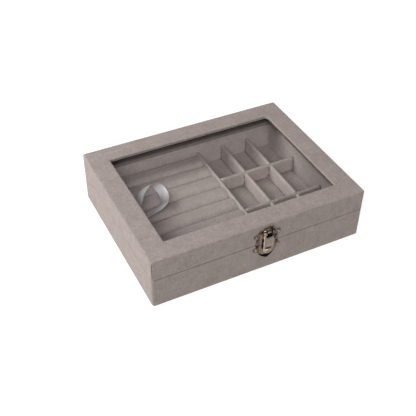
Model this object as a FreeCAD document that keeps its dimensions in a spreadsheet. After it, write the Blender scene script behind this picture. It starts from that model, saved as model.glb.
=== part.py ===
import FreeCAD, Part
import os
import re
import Sketcher

# A velvet-covered jewelry case with a glazed lid, ring rolls on the left and a
# grid of compartments on the right. Millimetres. The origin is the centre of the
# underside, X runs along the width, the front faces -Y and +Z is up.

ROLL_COUNT = 8
COLUMN_COUNT = 3
ROW_COUNT = 3
NAIL_SIDES = 12
MATCH_SHARE = 0.01

SIZES = {
    # the whole case
    "case_width": 200,
    "case_depth": 155,
    "case_height": 50,
    "base_height": 30,
    "parting_gap": 0.4,
    # covering
    "velvet_thickness": 0.8,
    "velvet_turn_in": 12,
    "edge_radius": 1.1,
    "window_edge_radius": 0.5,
    "felt_thickness": 0.4,
    "felt_margin": 3,
    # boards
    "board_thickness": 4.6,
    "board_corner_radius": 1.5,
    "bottom_board_thickness": 2,
    "top_board_thickness": 2.4,
    "window_rail": 19.1,
    # linings
    "liner_thickness": 1.8,
    "liner_edge_gap": 0.8,
    "floor_liner_thickness": 0.8,
    # glazing
    "glass_thickness": 2,
    "glass_clearance": 0.6,
    "glass_bevel": 0.3,
    "retainer_thickness": 1.8,
    "retainer_set_back": 6.6,
    # dividers
    "divider_thickness": 3.2,
    "divider_height": 16.2,
    "divider_edge_radius": 1.1,
    "lap_clearance": 0.1,
    "ring_bay_length": 103.7,
    # ring rolls
    "roll_gap": 0.35,
    "roll_end_gap": 0.3,
    "roll_end_length": 5,
    "roll_seat_share": 0.85,
    "roll_end_share": 0.84,
    "roll_shoulder_share": 0.95,
    "roll_shoulder_place_share": 0.3,
    "roll_crown_share": 0.7071,
    # clasp plates
    "clasp_place": 3.6,
    "clasp_plate_thickness": 0.8,
    "clasp_plate_width": 17.6,
    "clasp_plate_margin": 0.5,
    "clasp_dome_share": 0.82,
    "clasp_dome_radius": 9.6,
    "clasp_lid_shoulder_share": 0.45,
    "clasp_lid_ear_share": 0.47,
    "clasp_point_share": 0.56,
    "clasp_point_radius": 14,
    "clasp_base_shoulder_share": 0.213,
    "clasp_base_ear_share": 0.173,
    "clasp_ear_reach": 12.8,
    "clasp_ear_radius": 2.4,
    "ear_nail_inset": 2.4,
    # hasp and catch
    "hasp_width": 9.6,
    "hasp_knuckle_width": 11.6,
    "hasp_thickness": 1,
    "hasp_pin_share": 0.66,
    "hasp_pin_radius": 0.7,
    "hasp_knuckle_radius": 1.9,
    "hasp_stand_off": 0.3,
    "hasp_gap_width": 6.4,
    "hasp_gap_share": 0.24,
    "hasp_rest_angle": 4,
    "hasp_lip_share": 0.15,
    "hasp_lip_radius": 3,
    "hasp_lip_angle": 50,
    "hasp_lip_corner_radius": 3.6,
    "hasp_panel_width": 7.4,
    "hasp_panel_top_share": 0.34,
    "hasp_panel_foot_share": 0.03,
    "hasp_panel_raise": 0.5,
    "hasp_panel_radius": 0.45,
    "catch_share": 0.095,
    "catch_slot_width": 6.6,
    "catch_slot_height": 3,
    "catch_width": 5,
    "catch_height": 1.5,
    "catch_engagement": 0.5,
    # hinges
    "hinge_spacing_share": 0.62,
    "hinge_width": 25,
    "hinge_leaf_share": 0.6,
    "hinge_leaf_thickness": 0.8,
    "hinge_leaf_corner_radius": 1.5,
    "hinge_knuckle_radius": 1.6,
    "hinge_knuckle_length": 9,
    "hinge_pin_radius": 0.8,
    "hinge_wall_clearance": 0.35,
    "hinge_nail_spacing_share": 0.64,
    # fits and fasteners
    "knuckle_side_clearance": 0.15,
    "running_clearance": 0.05,
    "pin_end_reach": 0.3,
    "nail_radius": 0.6,
    "nail_head_radius": 1.4,
    "nail_head_height": 0.7,
    "nail_length": 5,
    # ribbon stay
    "ribbon_width": 9.5,
    "ribbon_thickness": 0.4,
    "ribbon_reach": 44.5,
    "ribbon_place": -14,
    "ribbon_heading": 32,
    "ribbon_lean": 24,
    "ribbon_clearance": 0.3,
    # spare length of a cut, so that it passes right through
    "overrun": 2,
}

DERIVED = {
    "half_width": "case_width / 2",
    "half_depth": "case_depth / 2",
    "corner_radius": "board_corner_radius + velvet_thickness",
    "core_half_width": "half_width - velvet_thickness",
    "core_half_depth": "half_depth - velvet_thickness",
    "well_half_width": "core_half_width - board_thickness",
    "well_half_depth": "core_half_depth - board_thickness",
    "room_half_width": "well_half_width - liner_thickness",
    "room_half_depth": "well_half_depth - liner_thickness",
    # heights in the base
    "base_board_foot": "felt_thickness + velvet_thickness",
    "base_rim": "base_height - parting_gap / 2",
    "base_board_top": "base_rim - velvet_thickness",
    "bottom_board_top": "base_board_foot + bottom_board_thickness",
    "floor_top": "bottom_board_top + floor_liner_thickness",
    "base_liner_top": "base_rim - liner_edge_gap",
    "divider_top": "floor_top + divider_height",
    # heights in the lid
    "lid_rim": "base_height + parting_gap / 2",
    "lid_board_foot": "lid_rim + velvet_thickness",
    "top_board_top": "case_height - velvet_thickness",
    "top_board_foot": "top_board_top - top_board_thickness",
    "glass_top": "top_board_foot - velvet_thickness",
    "glass_foot": "glass_top - glass_thickness",
    "retainer_foot": "glass_foot - retainer_thickness",
    "lid_liner_foot": "lid_rim + liner_edge_gap",
    "window_half_width": "half_width - window_rail",
    "window_half_depth": "half_depth - window_rail",
    # places in the tray
    "main_divider_left": "ring_bay_length - room_half_width",
    "main_divider_right": "main_divider_left + divider_thickness",
    "columns_width": "room_half_width - main_divider_right",
    "column_pitch": f"(columns_width + divider_thickness) / {COLUMN_COUNT}",
    "row_pitch": f"(2 * room_half_depth + divider_thickness) / {ROW_COUNT}",
    "lap_width": "divider_thickness + 2 * lap_clearance",
    "lap_height": "floor_top + divider_height / 2",
    "roll_pitch": f"2 * room_half_depth / {ROLL_COUNT}",
    "roll_radius": "(roll_pitch - roll_gap) / 2",
    "roll_end_radius": "roll_radius * roll_end_share",
    "roll_shoulder_radius": "roll_radius * roll_shoulder_share",
    "roll_shoulder_length": "roll_end_length * roll_shoulder_place_share",
    "roll_left": "roll_end_gap - room_half_width",
    "roll_right": "main_divider_left - roll_end_gap",
    "roll_top": "floor_top + roll_radius * (1 + roll_seat_share)",
    # clasp, whose heights keep to the lid above the parting and to the base below it
    "lid_height": "case_height - base_height",
    "clasp_crown": "base_height + lid_height * clasp_dome_share",
    "clasp_lid_shoulder": "base_height + lid_height * clasp_lid_shoulder_share",
    "clasp_lid_ear": "base_height + lid_height * clasp_lid_ear_share",
    "clasp_point": "base_height * (1 - clasp_point_share)",
    "clasp_base_shoulder": "base_height * (1 - clasp_base_shoulder_share)",
    "clasp_base_ear": "base_height * (1 - clasp_base_ear_share)",
    "clasp_face": "half_depth + clasp_plate_thickness",
    "clasp_left": "clasp_place - clasp_plate_width / 2",
    "clasp_right": "clasp_place + clasp_plate_width / 2",
    "lid_plate_foot": "lid_rim + clasp_plate_margin",
    "base_plate_top": "base_rim - clasp_plate_margin",
    "hasp_axis_reach": "clasp_face + hasp_stand_off + hasp_knuckle_radius",
    "hasp_axis_height": "base_height + lid_height * hasp_pin_share",
    "hasp_gap_foot": "hasp_axis_height - lid_height * hasp_gap_share",
    "hasp_panel_top": "base_height + lid_height * hasp_panel_top_share",
    "hasp_panel_foot": "base_height * (1 - hasp_panel_foot_share)",
    "hasp_outer_reach": "hasp_axis_reach + hasp_knuckle_radius",
    "hasp_inner_reach": "hasp_outer_reach - hasp_thickness",
    "hasp_lip_height": "base_height * (1 - hasp_lip_share)",
    "catch_height_place": "base_height * (1 - catch_share)",
    "catch_tip_reach": "hasp_inner_reach + catch_engagement",
    # hinges
    "hinge_spacing": "case_width * hinge_spacing_share",
    "hinge_axis_reach": "half_depth + hinge_wall_clearance + hinge_knuckle_radius",
    "hinge_knuckle_room": "hinge_knuckle_radius + hinge_wall_clearance",
    "hinge_leaf_height": "lid_height * hinge_leaf_share",
    "hinge_nail_spacing": "hinge_width * hinge_nail_spacing_share",
    # ribbon
    "ribbon_tilt_rise": "(ribbon_width * sin(ribbon_lean) + ribbon_thickness * cos(ribbon_lean)) / 2",
    "ribbon_low": "roll_top + ribbon_clearance + ribbon_tilt_rise",
    "ribbon_high": "retainer_foot - ribbon_clearance - ribbon_tilt_rise",
    "ribbon_loop_height": "(ribbon_high - ribbon_low) / cos(ribbon_lean)",
}
ANGLES = ("ribbon_lean", "ribbon_heading", "hasp_lip_angle", "hasp_rest_angle")

doc = FreeCAD.newDocument("jewelry_case")
sizes_sheet = doc.addObject("Spreadsheet::Sheet", "Sizes")
derived_sheet = doc.addObject("Spreadsheet::Sheet", "Derived")
spare_sheet = doc.addObject("Spreadsheet::Sheet", "Spare")
pieces = []


def expand(formula):
    """Writes each size's name in a formula with the sheet that holds it."""
    def full_name(found):
        word = found.group(0)
        if word in SIZES:
            unit = " * 1 deg" if word in ANGLES else ""
            return f"(Sizes.{word}{unit})"
        return f"Derived.{word}" if word in DERIVED else word
    return re.sub(r"[a-z_]+[a-z]", full_name, formula)


def fill_sheets():
    for row, (name, value) in enumerate(SIZES.items(), start=1):
        sizes_sheet.set(f"A{row}", name)
        sizes_sheet.set(f"B{row}", str(value))
        sizes_sheet.setAlias(f"B{row}", name)
    doc.recompute()
    for row, (name, formula) in enumerate(DERIVED.items(), start=1):
        derived_sheet.set(f"A{row}", name)
        derived_sheet.setAlias(f"B{row}", name)
        derived_sheet.set(f"B{row}", "=" + expand(formula).replace("Derived.", ""))
    doc.recompute()


def number(formula):
    """Works a formula out in a spare cell."""
    spare_sheet.set("A1", "=" + expand(formula))
    spare_sheet.recompute()
    return float(spare_sheet.get("A1"))


def bind(thing, prop, formula):
    thing.setExpression(prop, expand(formula))


def place(thing, x="0", y="0", z="0"):
    bind(thing, "Placement.Base.x", x)
    bind(thing, "Placement.Base.y", y)
    bind(thing, "Placement.Base.z", z)


def keep(thing, label):
    """Marks a finished sub-part."""
    thing.Label = label
    pieces.append(thing)
    return thing


# Sketches and features

def new_body(label):
    body = doc.addObject("PartDesign::Body", label)
    return keep(body, label)


def sketch_on(body, role, offset="0"):
    sketch = body.newObject("Sketcher::SketchObject", "sketch")
    plane = next(part for part in body.Origin.OriginFeatures if part.Role == role)
    sketch.AttachmentSupport = [(plane, "")]
    sketch.MapMode = "FlatFace"
    bind(sketch, "AttachmentOffset.Base.z", offset)
    return sketch


def hold(sketch, kind, geometry, point, formula):
    """Ties one coordinate of a sketch point to a formula."""
    place_now = number(formula)
    index = sketch.addConstraint(Sketcher.Constraint(kind, -1, 1, geometry, point, place_now))
    bind(sketch, f"Constraints[{index}]", formula)


def hold_radius(sketch, geometry, formula):
    index = sketch.addConstraint(Sketcher.Constraint("Radius", geometry, number(formula)))
    bind(sketch, f"Constraints[{index}]", formula)


def arc_middle(start, end, radius, turn):
    """The middle of the short arc from start to end; turn 1 bends to the left, -1 to the right."""
    chord = end - start
    half = chord.Length / 2
    side = FreeCAD.Vector(-chord.y, chord.x, 0).normalize() * turn
    centre = start + chord * 0.5 + side * max(radius * radius - half * half, 0) ** 0.5
    return centre - side * radius


def outline(sketch, start, *steps):
    """Draws a closed outline. A step is (x, y) for a line or (x, y, radius, turn) for an arc."""
    corners = [start] + [step[:2] for step in steps[:-1]]
    points = [FreeCAD.Vector(number(x), number(y), 0) for x, y in corners]
    first = sketch.GeometryCount
    ends = []
    for index, step in enumerate(steps):
        here = points[index]
        there = points[(index + 1) % len(points)]
        if len(step) == 2:
            sketch.addGeometry(Part.LineSegment(here, there))
            ends.append((1, 2))
        else:
            middle = arc_middle(here, there, number(step[2]), step[3])
            sketch.addGeometry(Part.Arc(here, middle, there))
            ends.append((1, 2) if step[3] > 0 else (2, 1))
    for index, step in enumerate(steps):
        follower = (index + 1) % len(steps)
        join = Sketcher.Constraint(
            "Coincident", first + index, ends[index][1], first + follower, ends[follower][0])
        sketch.addConstraint(join)
        if len(step) == 4:
            hold_radius(sketch, first + index, step[2])
    for index, (x, y) in enumerate(corners):
        hold(sketch, "DistanceX", first + index, ends[index][0], x)
        hold(sketch, "DistanceY", first + index, ends[index][0], y)


def rectangle(sketch, left, right, foot, top):
    outline(sketch, (left, foot), (right, foot), (right, top), (left, top), (left, foot))


def frame(sketch, half_x, half_y):
    """A rectangle centred on the origin."""
    rectangle(sketch, f"-({half_x})", half_x, f"-({half_y})", half_y)


def circle(sketch, x, y, radius):
    centre = FreeCAD.Vector(number(x), number(y), 0)
    index = sketch.addGeometry(Part.Circle(centre, FreeCAD.Vector(0, 0, 1), number(radius)))
    hold(sketch, "DistanceX", index, 3, x)
    hold(sketch, "DistanceY", index, 3, y)
    hold_radius(sketch, index, radius)


def built(body, made):
    """Works a new feature out and stops if it fails."""
    doc.recompute([body])
    if "Invalid" in made.State or "Error" in made.State:
        raise RuntimeError(f"{made.Name} of {body.Label} did not build")
    return made


def feature(body, kind, sketch, length, backwards=False, midplane=False):
    made = body.newObject(kind, "feature")
    made.Profile = sketch
    bind(made, "Length", length)
    made.Reversed = backwards
    made.Midplane = midplane
    return built(body, made)


def pad(body, sketch, length, **options):
    return feature(body, "PartDesign::Pad", sketch, length, **options)


def pocket(body, sketch, length, **options):
    before = body.Shape.Volume
    made = feature(body, "PartDesign::Pocket", sketch, length, **options)
    if not body.Shape.Volume < before:
        raise RuntimeError(f"a cut in {body.Label} removes nothing")
    return made


def edges_where(body, test):
    """The names of the edges of a body whose box passes a test."""
    return [f"Edge{index}" for index, edge in enumerate(body.Shape.Edges, start=1)
            if test(edge.BoundBox)]


def round_edges(body, radius, test):
    base = body.Tip
    names = edges_where(body, test)
    made = body.newObject("PartDesign::Fillet", "rounding")
    made.Base = (base, names)
    bind(made, "Radius", radius)
    return built(body, made)


def near(value, target):
    return abs(value - target) < MATCH_SHARE * number("velvet_thickness")


def upright(box):
    return near(box.XLength, 0) and near(box.YLength, 0) and not near(box.ZLength, 0)


def level_at(height):
    return lambda box: near(box.ZMin, height) and near(box.ZMax, height)


def block(label, x, y, z):
    """A plain cut board: each argument is a pair of formulas, low and high."""
    board = doc.addObject("Part::Box", label)
    bind(board, "Length", f"({x[1]}) - ({x[0]})")
    bind(board, "Width", f"({y[1]}) - ({y[0]})")
    bind(board, "Height", f"({z[1]}) - ({z[0]})")
    place(board, x[0], y[0], z[0])
    return keep(board, label)


# The base

def wall_board(label, side, foot, top):
    """A front (side -1) or back (side 1) board, with rounded outer corners for the velvet."""
    body = new_body(label)
    sketch = sketch_on(body, "XY_Plane", foot)
    inner = f"{side} * well_half_depth"
    outer = f"{side} * core_half_depth"
    low, high = (outer, inner) if side < 0 else (inner, outer)
    rectangle(sketch, "-core_half_width", "core_half_width", low, high)
    pad(body, sketch, f"{top} - {foot}")
    outer_place = number(outer)
    round_edges(body, "board_corner_radius", lambda box: upright(box) and near(box.YMin, outer_place))


def side_boards(prefix, foot, top):
    wall_board(f"{prefix}_front_board", -1, foot, top)
    wall_board(f"{prefix}_back_board", 1, foot, top)
    depth = ("-well_half_depth", "well_half_depth")
    height = (foot, top)
    block(f"{prefix}_left_board", ("-core_half_width", "-well_half_width"), depth, height)
    block(f"{prefix}_right_board", ("well_half_width", "core_half_width"), depth, height)


def wall_liners(prefix, foot, top):
    """Velvet-covered card on the four inner walls."""
    width = ("-well_half_width", "well_half_width")
    depth = ("-room_half_depth", "room_half_depth")
    height = (foot, top)
    block(f"{prefix}_front_liner", width, ("-well_half_depth", "-room_half_depth"), height)
    block(f"{prefix}_back_liner", width, ("room_half_depth", "well_half_depth"), height)
    block(f"{prefix}_left_liner", ("-well_half_width", "-room_half_width"), depth, height)
    block(f"{prefix}_right_liner", ("room_half_width", "well_half_width"), depth, height)


def velvet_block(label, foot, top):
    """The outside of a velvet cover, still solid, with its upright corners rounded."""
    body = new_body(label)
    sketch = sketch_on(body, "XY_Plane", foot)
    frame(sketch, "half_width", "half_depth")
    pad(body, sketch, f"{top} - {foot}")
    round_edges(body, "corner_radius", upright)
    return body


def hollow(body, half_x, half_y, foot, top):
    sketch = sketch_on(body, "XY_Plane", foot)
    frame(sketch, half_x, half_y)
    pocket(body, sketch, f"({top}) - ({foot})", backwards=True)


def round_board_corners(body):
    """Rounds the inside of the velvet where it passes the corners of the boards."""
    reach = number("core_half_width")
    round_edges(body, "board_corner_radius", lambda box: upright(box) and near(abs(box.XMin), reach))


def base_velvet():
    body = velvet_block("base_velvet_wrap", "felt_thickness", "base_rim")
    hollow(body, "half_width - velvet_turn_in", "half_depth - velvet_turn_in",
           "felt_thickness", "base_board_foot")
    hollow(body, "core_half_width", "core_half_depth", "base_board_foot", "base_board_top")
    round_board_corners(body)
    hollow(body, "well_half_width", "well_half_depth", "base_board_top", "base_rim")


def felt_sheet():
    """The felt lies over the turned-in velvet and steps up to the board between."""
    body = new_body("base_felt_sheet")
    sketch = sketch_on(body, "XY_Plane")
    frame(sketch, "half_width - felt_margin", "half_depth - felt_margin")
    pad(body, sketch, "felt_thickness")
    raised = sketch_on(body, "XY_Plane", "felt_thickness")
    frame(raised, "half_width - velvet_turn_in", "half_depth - velvet_turn_in")
    pad(body, raised, "velvet_thickness")


def base_shell():
    felt_sheet()
    base_velvet()
    side_boards("base", "base_board_foot", "base_board_top")
    width = ("-well_half_width", "well_half_width")
    depth = ("-well_half_depth", "well_half_depth")
    block("base_bottom_board", width, depth, ("base_board_foot", "bottom_board_top"))
    block("base_floor_liner", width, depth, ("bottom_board_top", "floor_top"))
    wall_liners("base", "floor_top", "base_liner_top")


# The tray

def divider(label, low, high, along_y):
    """A velvet-covered strip with a rounded top edge; low and high are its corners in plan."""
    body = new_body(label)
    sketch = sketch_on(body, "XY_Plane", "floor_top")
    rectangle(sketch, low[0], high[0], low[1], high[1])
    pad(body, sketch, "divider_height")
    top = level_at(number("divider_top"))
    round_edges(body, "divider_edge_radius",
                lambda box: top(box) and near(box.XLength if along_y else box.YLength, 0))
    return body


def column_left(index):
    """The left face of a long divider, counted from 1."""
    return f"main_divider_right + {index} * column_pitch - divider_thickness"


def row_foot(index):
    """The front face of a cross divider, counted from 1 at the front."""
    return f"{index} * row_pitch - divider_thickness - room_half_depth"


def lap_cuts(body, places, role, offset, foot, top):
    """Half-lap slots across a divider, wide enough for the other divider."""
    sketch = sketch_on(body, role, offset)
    for low in places:
        rectangle(sketch, f"{low} - lap_clearance", f"{low} - lap_clearance + lap_width", foot, top)
    pocket(body, sketch, "divider_thickness + 2 * overrun", midplane=True)


def dividers():
    columns = [column_left(index) for index in range(1, COLUMN_COUNT)]
    rows = [row_foot(index) for index in range(1, ROW_COUNT)]
    divider("main_divider", ("main_divider_left", "-room_half_depth"),
            ("main_divider_right", "room_half_depth"), along_y=True)
    for index, left in enumerate(columns, start=1):
        body = divider(f"long_divider_{index}", (left, "-room_half_depth"),
                       (f"{left} + divider_thickness", "room_half_depth"), along_y=True)
        lap_cuts(body, rows, "YZ_Plane", f"{left} + divider_thickness / 2",
                 "lap_height", "divider_top + overrun")
    for index, foot in enumerate(rows, start=1):
        body = divider(f"cross_divider_{index}", ("main_divider_right", foot),
                       ("room_half_width", f"{foot} + divider_thickness"), along_y=False)
        lap_cuts(body, columns, "XZ_Plane", f"-({foot} + divider_thickness / 2)",
                 "floor_top - overrun", "lap_height + lap_clearance")


def roll_section(body, offset, centre, radius):
    """A round roll, flat where it sits on the floor: three arcs of one circle on a straight foot."""
    sketch = sketch_on(body, "YZ_Plane", offset)
    rise = f"floor_top + {radius} * roll_seat_share"
    foot_half = f"{radius} * sqrt(1 - roll_seat_share * roll_seat_share)"
    crown = f"{radius} * roll_crown_share"
    outline(sketch,
            (f"{centre} - {foot_half}", "floor_top"),
            (f"{centre} + {foot_half}", "floor_top"),
            (f"{centre} + {crown}", f"{rise} + {crown}", radius, 1),
            (f"{centre} - {crown}", f"{rise} + {crown}", radius, 1),
            (f"{centre} - {foot_half}", "floor_top", radius, 1))
    return sketch


def ring_roll(index):
    """A padded roll whose ends are drawn in."""
    body = new_body(f"ring_roll_{index}")
    centre = f"room_half_depth - {index - 0.5} * roll_pitch"
    stations = (
        ("roll_left", "roll_end_radius"),
        ("roll_left + roll_shoulder_length", "roll_shoulder_radius"),
        ("roll_left + roll_end_length", "roll_radius"),
        ("roll_right - roll_end_length", "roll_radius"),
        ("roll_right - roll_shoulder_length", "roll_shoulder_radius"),
        ("roll_right", "roll_end_radius"),
    )
    sections = [roll_section(body, offset, centre, radius) for offset, radius in stations]
    loft = body.newObject("PartDesign::AdditiveLoft", "loft")
    loft.Profile = sections[0]
    loft.Sections = sections[1:]
    loft.Ruled = True
    built(body, loft)


# The lid

def lid_velvet():
    body = velvet_block("lid_velvet_wrap", "lid_rim", "case_height")
    round_edges(body, "edge_radius", level_at(number("case_height")))
    hollow(body, "well_half_width", "well_half_depth", "lid_rim", "lid_board_foot")
    hollow(body, "core_half_width", "core_half_depth", "lid_board_foot", "top_board_top")
    round_board_corners(body)
    fold = sketch_on(body, "XY_Plane", "glass_top")
    frame(fold, "window_half_width + velvet_thickness", "window_half_depth + velvet_thickness")
    pad(body, fold, "top_board_top - glass_top")
    turned = sketch_on(body, "XY_Plane", "glass_top")
    frame(turned, "window_half_width + velvet_turn_in", "window_half_depth + velvet_turn_in")
    pad(body, turned, "velvet_thickness")
    hollow(body, "window_half_width", "window_half_depth", "glass_top - overrun", "case_height + overrun")
    rim = level_at(number("case_height"))
    reach = number("window_half_width + velvet_thickness")
    round_edges(body, "window_edge_radius", lambda box: rim(box) and max(-box.XMin, box.XMax) < reach)


def lid_top_board():
    body = new_body("lid_top_board")
    sketch = sketch_on(body, "XY_Plane", "top_board_foot")
    frame(sketch, "core_half_width", "core_half_depth")
    pad(body, sketch, "top_board_thickness")
    round_edges(body, "board_corner_radius", upright)
    hollow(body, "window_half_width + velvet_thickness", "window_half_depth + velvet_thickness",
           "top_board_foot", "top_board_top")


def glass_pane():
    body = new_body("glass_pane")
    sketch = sketch_on(body, "XY_Plane", "glass_foot")
    frame(sketch, "well_half_width - glass_clearance", "well_half_depth - glass_clearance")
    pad(body, sketch, "glass_thickness")
    bevel = body.newObject("PartDesign::Chamfer", "bevel")
    bevel.Base = (body.Group[-2], edges_where(body, lambda box: True))
    bind(bevel, "Size", "glass_bevel")
    built(body, bevel)


def glass_retainer():
    body = new_body("glass_retainer_frame")
    sketch = sketch_on(body, "XY_Plane", "retainer_foot")
    frame(sketch, "well_half_width", "well_half_depth")
    frame(sketch, "window_half_width + retainer_set_back", "window_half_depth + retainer_set_back")
    pad(body, sketch, "retainer_thickness")


def lid_shell():
    lid_velvet()
    side_boards("lid", "lid_board_foot", "top_board_foot")
    lid_top_board()
    glass_pane()
    glass_retainer()
    wall_liners("lid", "lid_liner_foot", "retainer_foot")


# The clasp

def ears(body, height):
    """A round-ended bar across a plate: its two ends are the ears that take the nails."""
    sketch = sketch_on(body, "XZ_Plane", "half_depth")
    left = "clasp_place - clasp_ear_reach"
    right = "clasp_place + clasp_ear_reach"
    radius = "clasp_ear_radius"
    outline(sketch,
            (f"{left} + {radius}", f"{height} - {radius}"),
            (f"{right} - {radius}", f"{height} - {radius}"),
            (right, height, radius, 1),
            (f"{right} - {radius}", f"{height} + {radius}", radius, 1),
            (f"{left} + {radius}", f"{height} + {radius}"),
            (left, height, radius, 1),
            (f"{left} + {radius}", f"{height} - {radius}", radius, 1))
    pad(body, sketch, "clasp_plate_thickness")
    holes = sketch_on(body, "XZ_Plane", "half_depth - overrun")
    for side in (-1, 1):
        circle(holes, ear_nail_place(side), height, "nail_radius + running_clearance")
    pocket(body, holes, "clasp_plate_thickness + 2 * overrun", backwards=True)


def ear_nail_place(side):
    return f"clasp_place + {side} * (clasp_ear_reach - ear_nail_inset)"


def clasp_lid_plate():
    body = new_body("clasp_lid_plate")
    sketch = sketch_on(body, "XZ_Plane", "half_depth")
    outline(sketch,
            ("clasp_left", "lid_plate_foot"),
            ("clasp_right", "lid_plate_foot"),
            ("clasp_right", "clasp_lid_shoulder"),
            ("clasp_place", "clasp_crown", "clasp_dome_radius", 1),
            ("clasp_left", "clasp_lid_shoulder", "clasp_dome_radius", 1),
            ("clasp_left", "lid_plate_foot"))
    pad(body, sketch, "clasp_plate_thickness")
    ears(body, "clasp_lid_ear")
    knuckle_width = "hasp_gap_width - 2 * knuckle_side_clearance"
    tongue = sketch_on(body, "YZ_Plane", "clasp_place")
    rectangle(tongue, "-hasp_axis_reach", "-half_depth",
              "hasp_axis_height", "hasp_axis_height + hasp_knuckle_radius")
    pad(body, tongue, knuckle_width, midplane=True)
    knuckle(body, "-hasp_axis_reach", "hasp_axis_height", "hasp_knuckle_radius", "clasp_place",
            knuckle_width)
    pin_hole(body, "-hasp_axis_reach", "hasp_axis_height", "hasp_pin_radius", "clasp_place",
             "hasp_knuckle_width")


def knuckle(body, y, z, radius, middle, length):
    sketch = sketch_on(body, "YZ_Plane", middle)
    circle(sketch, y, z, radius)
    pad(body, sketch, length, midplane=True)


def pin_hole(body, y, z, pin_radius, middle, length):
    sketch = sketch_on(body, "YZ_Plane", middle)
    circle(sketch, y, z, f"{pin_radius} + running_clearance")
    pocket(body, sketch, f"{length} + 2 * overrun", midplane=True)


def clasp_base_plate():
    """The lower plate runs to a soft point and carries the catch that the hasp drops over."""
    body = new_body("clasp_base_plate")
    sketch = sketch_on(body, "XZ_Plane", "half_depth")
    outline(sketch,
            ("clasp_left", "base_plate_top"),
            ("clasp_left", "clasp_base_shoulder"),
            ("clasp_place", "clasp_point", "clasp_point_radius", 1),
            ("clasp_right", "clasp_base_shoulder", "clasp_point_radius", 1),
            ("clasp_right", "base_plate_top"),
            ("clasp_left", "base_plate_top"))
    pad(body, sketch, "clasp_plate_thickness")
    ears(body, "clasp_base_ear")
    catch = sketch_on(body, "XZ_Plane", "half_depth")
    rectangle(catch, "clasp_place - catch_width / 2", "clasp_place + catch_width / 2",
              "catch_height_place - catch_height / 2", "catch_height_place + catch_height / 2")
    pad(body, catch, "catch_tip_reach - half_depth")


def clasp_hasp():
    """The hasp is drawn latched and then swung out to where it clears the catch."""
    body = new_body("clasp_hasp")
    lip_turn = "cos(hasp_lip_angle)"
    lip_fall = "sin(hasp_lip_angle)"
    centre = "(hasp_outer_reach + hasp_lip_radius)"
    inner_radius = "hasp_lip_radius + hasp_thickness"
    strap = sketch_on(body, "YZ_Plane")
    outline(strap,
            ("-hasp_outer_reach", "hasp_axis_height"),
            ("-hasp_outer_reach", "hasp_lip_height"),
            (f"hasp_lip_radius * {lip_turn} - {centre}",
             f"hasp_lip_height - hasp_lip_radius * {lip_fall}", "hasp_lip_radius", -1),
            (f"({inner_radius}) * {lip_turn} - {centre}",
             f"hasp_lip_height - ({inner_radius}) * {lip_fall}"),
            ("-hasp_inner_reach", "hasp_lip_height", inner_radius, 1),
            ("-hasp_inner_reach", "hasp_axis_height"),
            ("-hasp_outer_reach", "hasp_axis_height"))
    bind(strap, "AttachmentOffset.Base.z", "clasp_place")
    pad(body, strap, "hasp_width", midplane=True)
    knuckle(body, "-hasp_axis_reach", "hasp_axis_height", "hasp_knuckle_radius", "clasp_place",
            "hasp_knuckle_width")
    corners = sketch_on(body, "XZ_Plane", "hasp_outer_reach")
    lip_foot = f"hasp_lip_height - ({inner_radius}) * {lip_fall}"
    radius = "hasp_lip_corner_radius"
    for side in (-1, 1):
        edge = f"clasp_place + {side} * hasp_width / 2"
        outline(corners,
                (edge, f"{lip_foot} + {radius}"),
                (f"{edge} - {side} * {radius}", lip_foot, radius, -side),
                (f"{edge} - {side} * {radius}", f"{lip_foot} - overrun"),
                (f"{edge} + {side} * overrun", f"{lip_foot} - overrun"),
                (f"{edge} + {side} * overrun", f"{lip_foot} + {radius}"),
                (edge, f"{lip_foot} + {radius}"))
    pocket(body, corners, "2 * (hasp_lip_radius + overrun)", midplane=True)
    panel = sketch_on(body, "XZ_Plane", "hasp_outer_reach")
    rectangle(panel, "clasp_place - hasp_panel_width / 2", "clasp_place + hasp_panel_width / 2",
              "hasp_panel_foot", "hasp_panel_top")
    pad(body, panel, "hasp_panel_raise")
    face = -number("hasp_outer_reach + hasp_panel_raise")
    round_edges(body, "hasp_panel_radius", lambda box: near(box.YMin, face) and near(box.YMax, face))
    cuts = sketch_on(body, "XZ_Plane", "hasp_axis_reach")
    rectangle(cuts, "clasp_place - hasp_gap_width / 2", "clasp_place + hasp_gap_width / 2",
              "hasp_gap_foot", "hasp_axis_height + hasp_knuckle_radius + overrun")
    rectangle(cuts, "clasp_place - catch_slot_width / 2", "clasp_place + catch_slot_width / 2",
              "catch_height_place - catch_slot_height / 2", "catch_height_place + catch_slot_height / 2")
    pocket(body, cuts, "2 * hasp_outer_reach - 2 * clasp_face + 2 * overrun", midplane=True)
    pin_hole(body, "-hasp_axis_reach", "hasp_axis_height", "hasp_pin_radius", "clasp_place",
             "hasp_knuckle_width")
    axis = FreeCAD.Vector(0, -number("hasp_axis_reach"), number("hasp_axis_height"))
    swing = FreeCAD.Rotation(FreeCAD.Vector(-1, 0, 0), number("hasp_rest_angle / 1 deg"))
    body.Placement = FreeCAD.Placement(axis - swing.multVec(axis), swing)


def pin(label, x, length, y, z, radius):
    rod = doc.addObject("Part::Cylinder", label)
    bind(rod, "Radius", radius)
    bind(rod, "Height", length)
    rod.Placement.Rotation = FreeCAD.Rotation(FreeCAD.Vector(0, 1, 0), 90)
    place(rod, f"{x} - ({length}) / 2", y, z)
    return keep(rod, label)


# Nails and hinges

def prism(name, radius, height):
    post = doc.addObject("Part::Prism", name)
    post.Polygon = NAIL_SIDES
    bind(post, "Circumradius", radius)
    bind(post, "Height", height)
    return post


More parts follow.
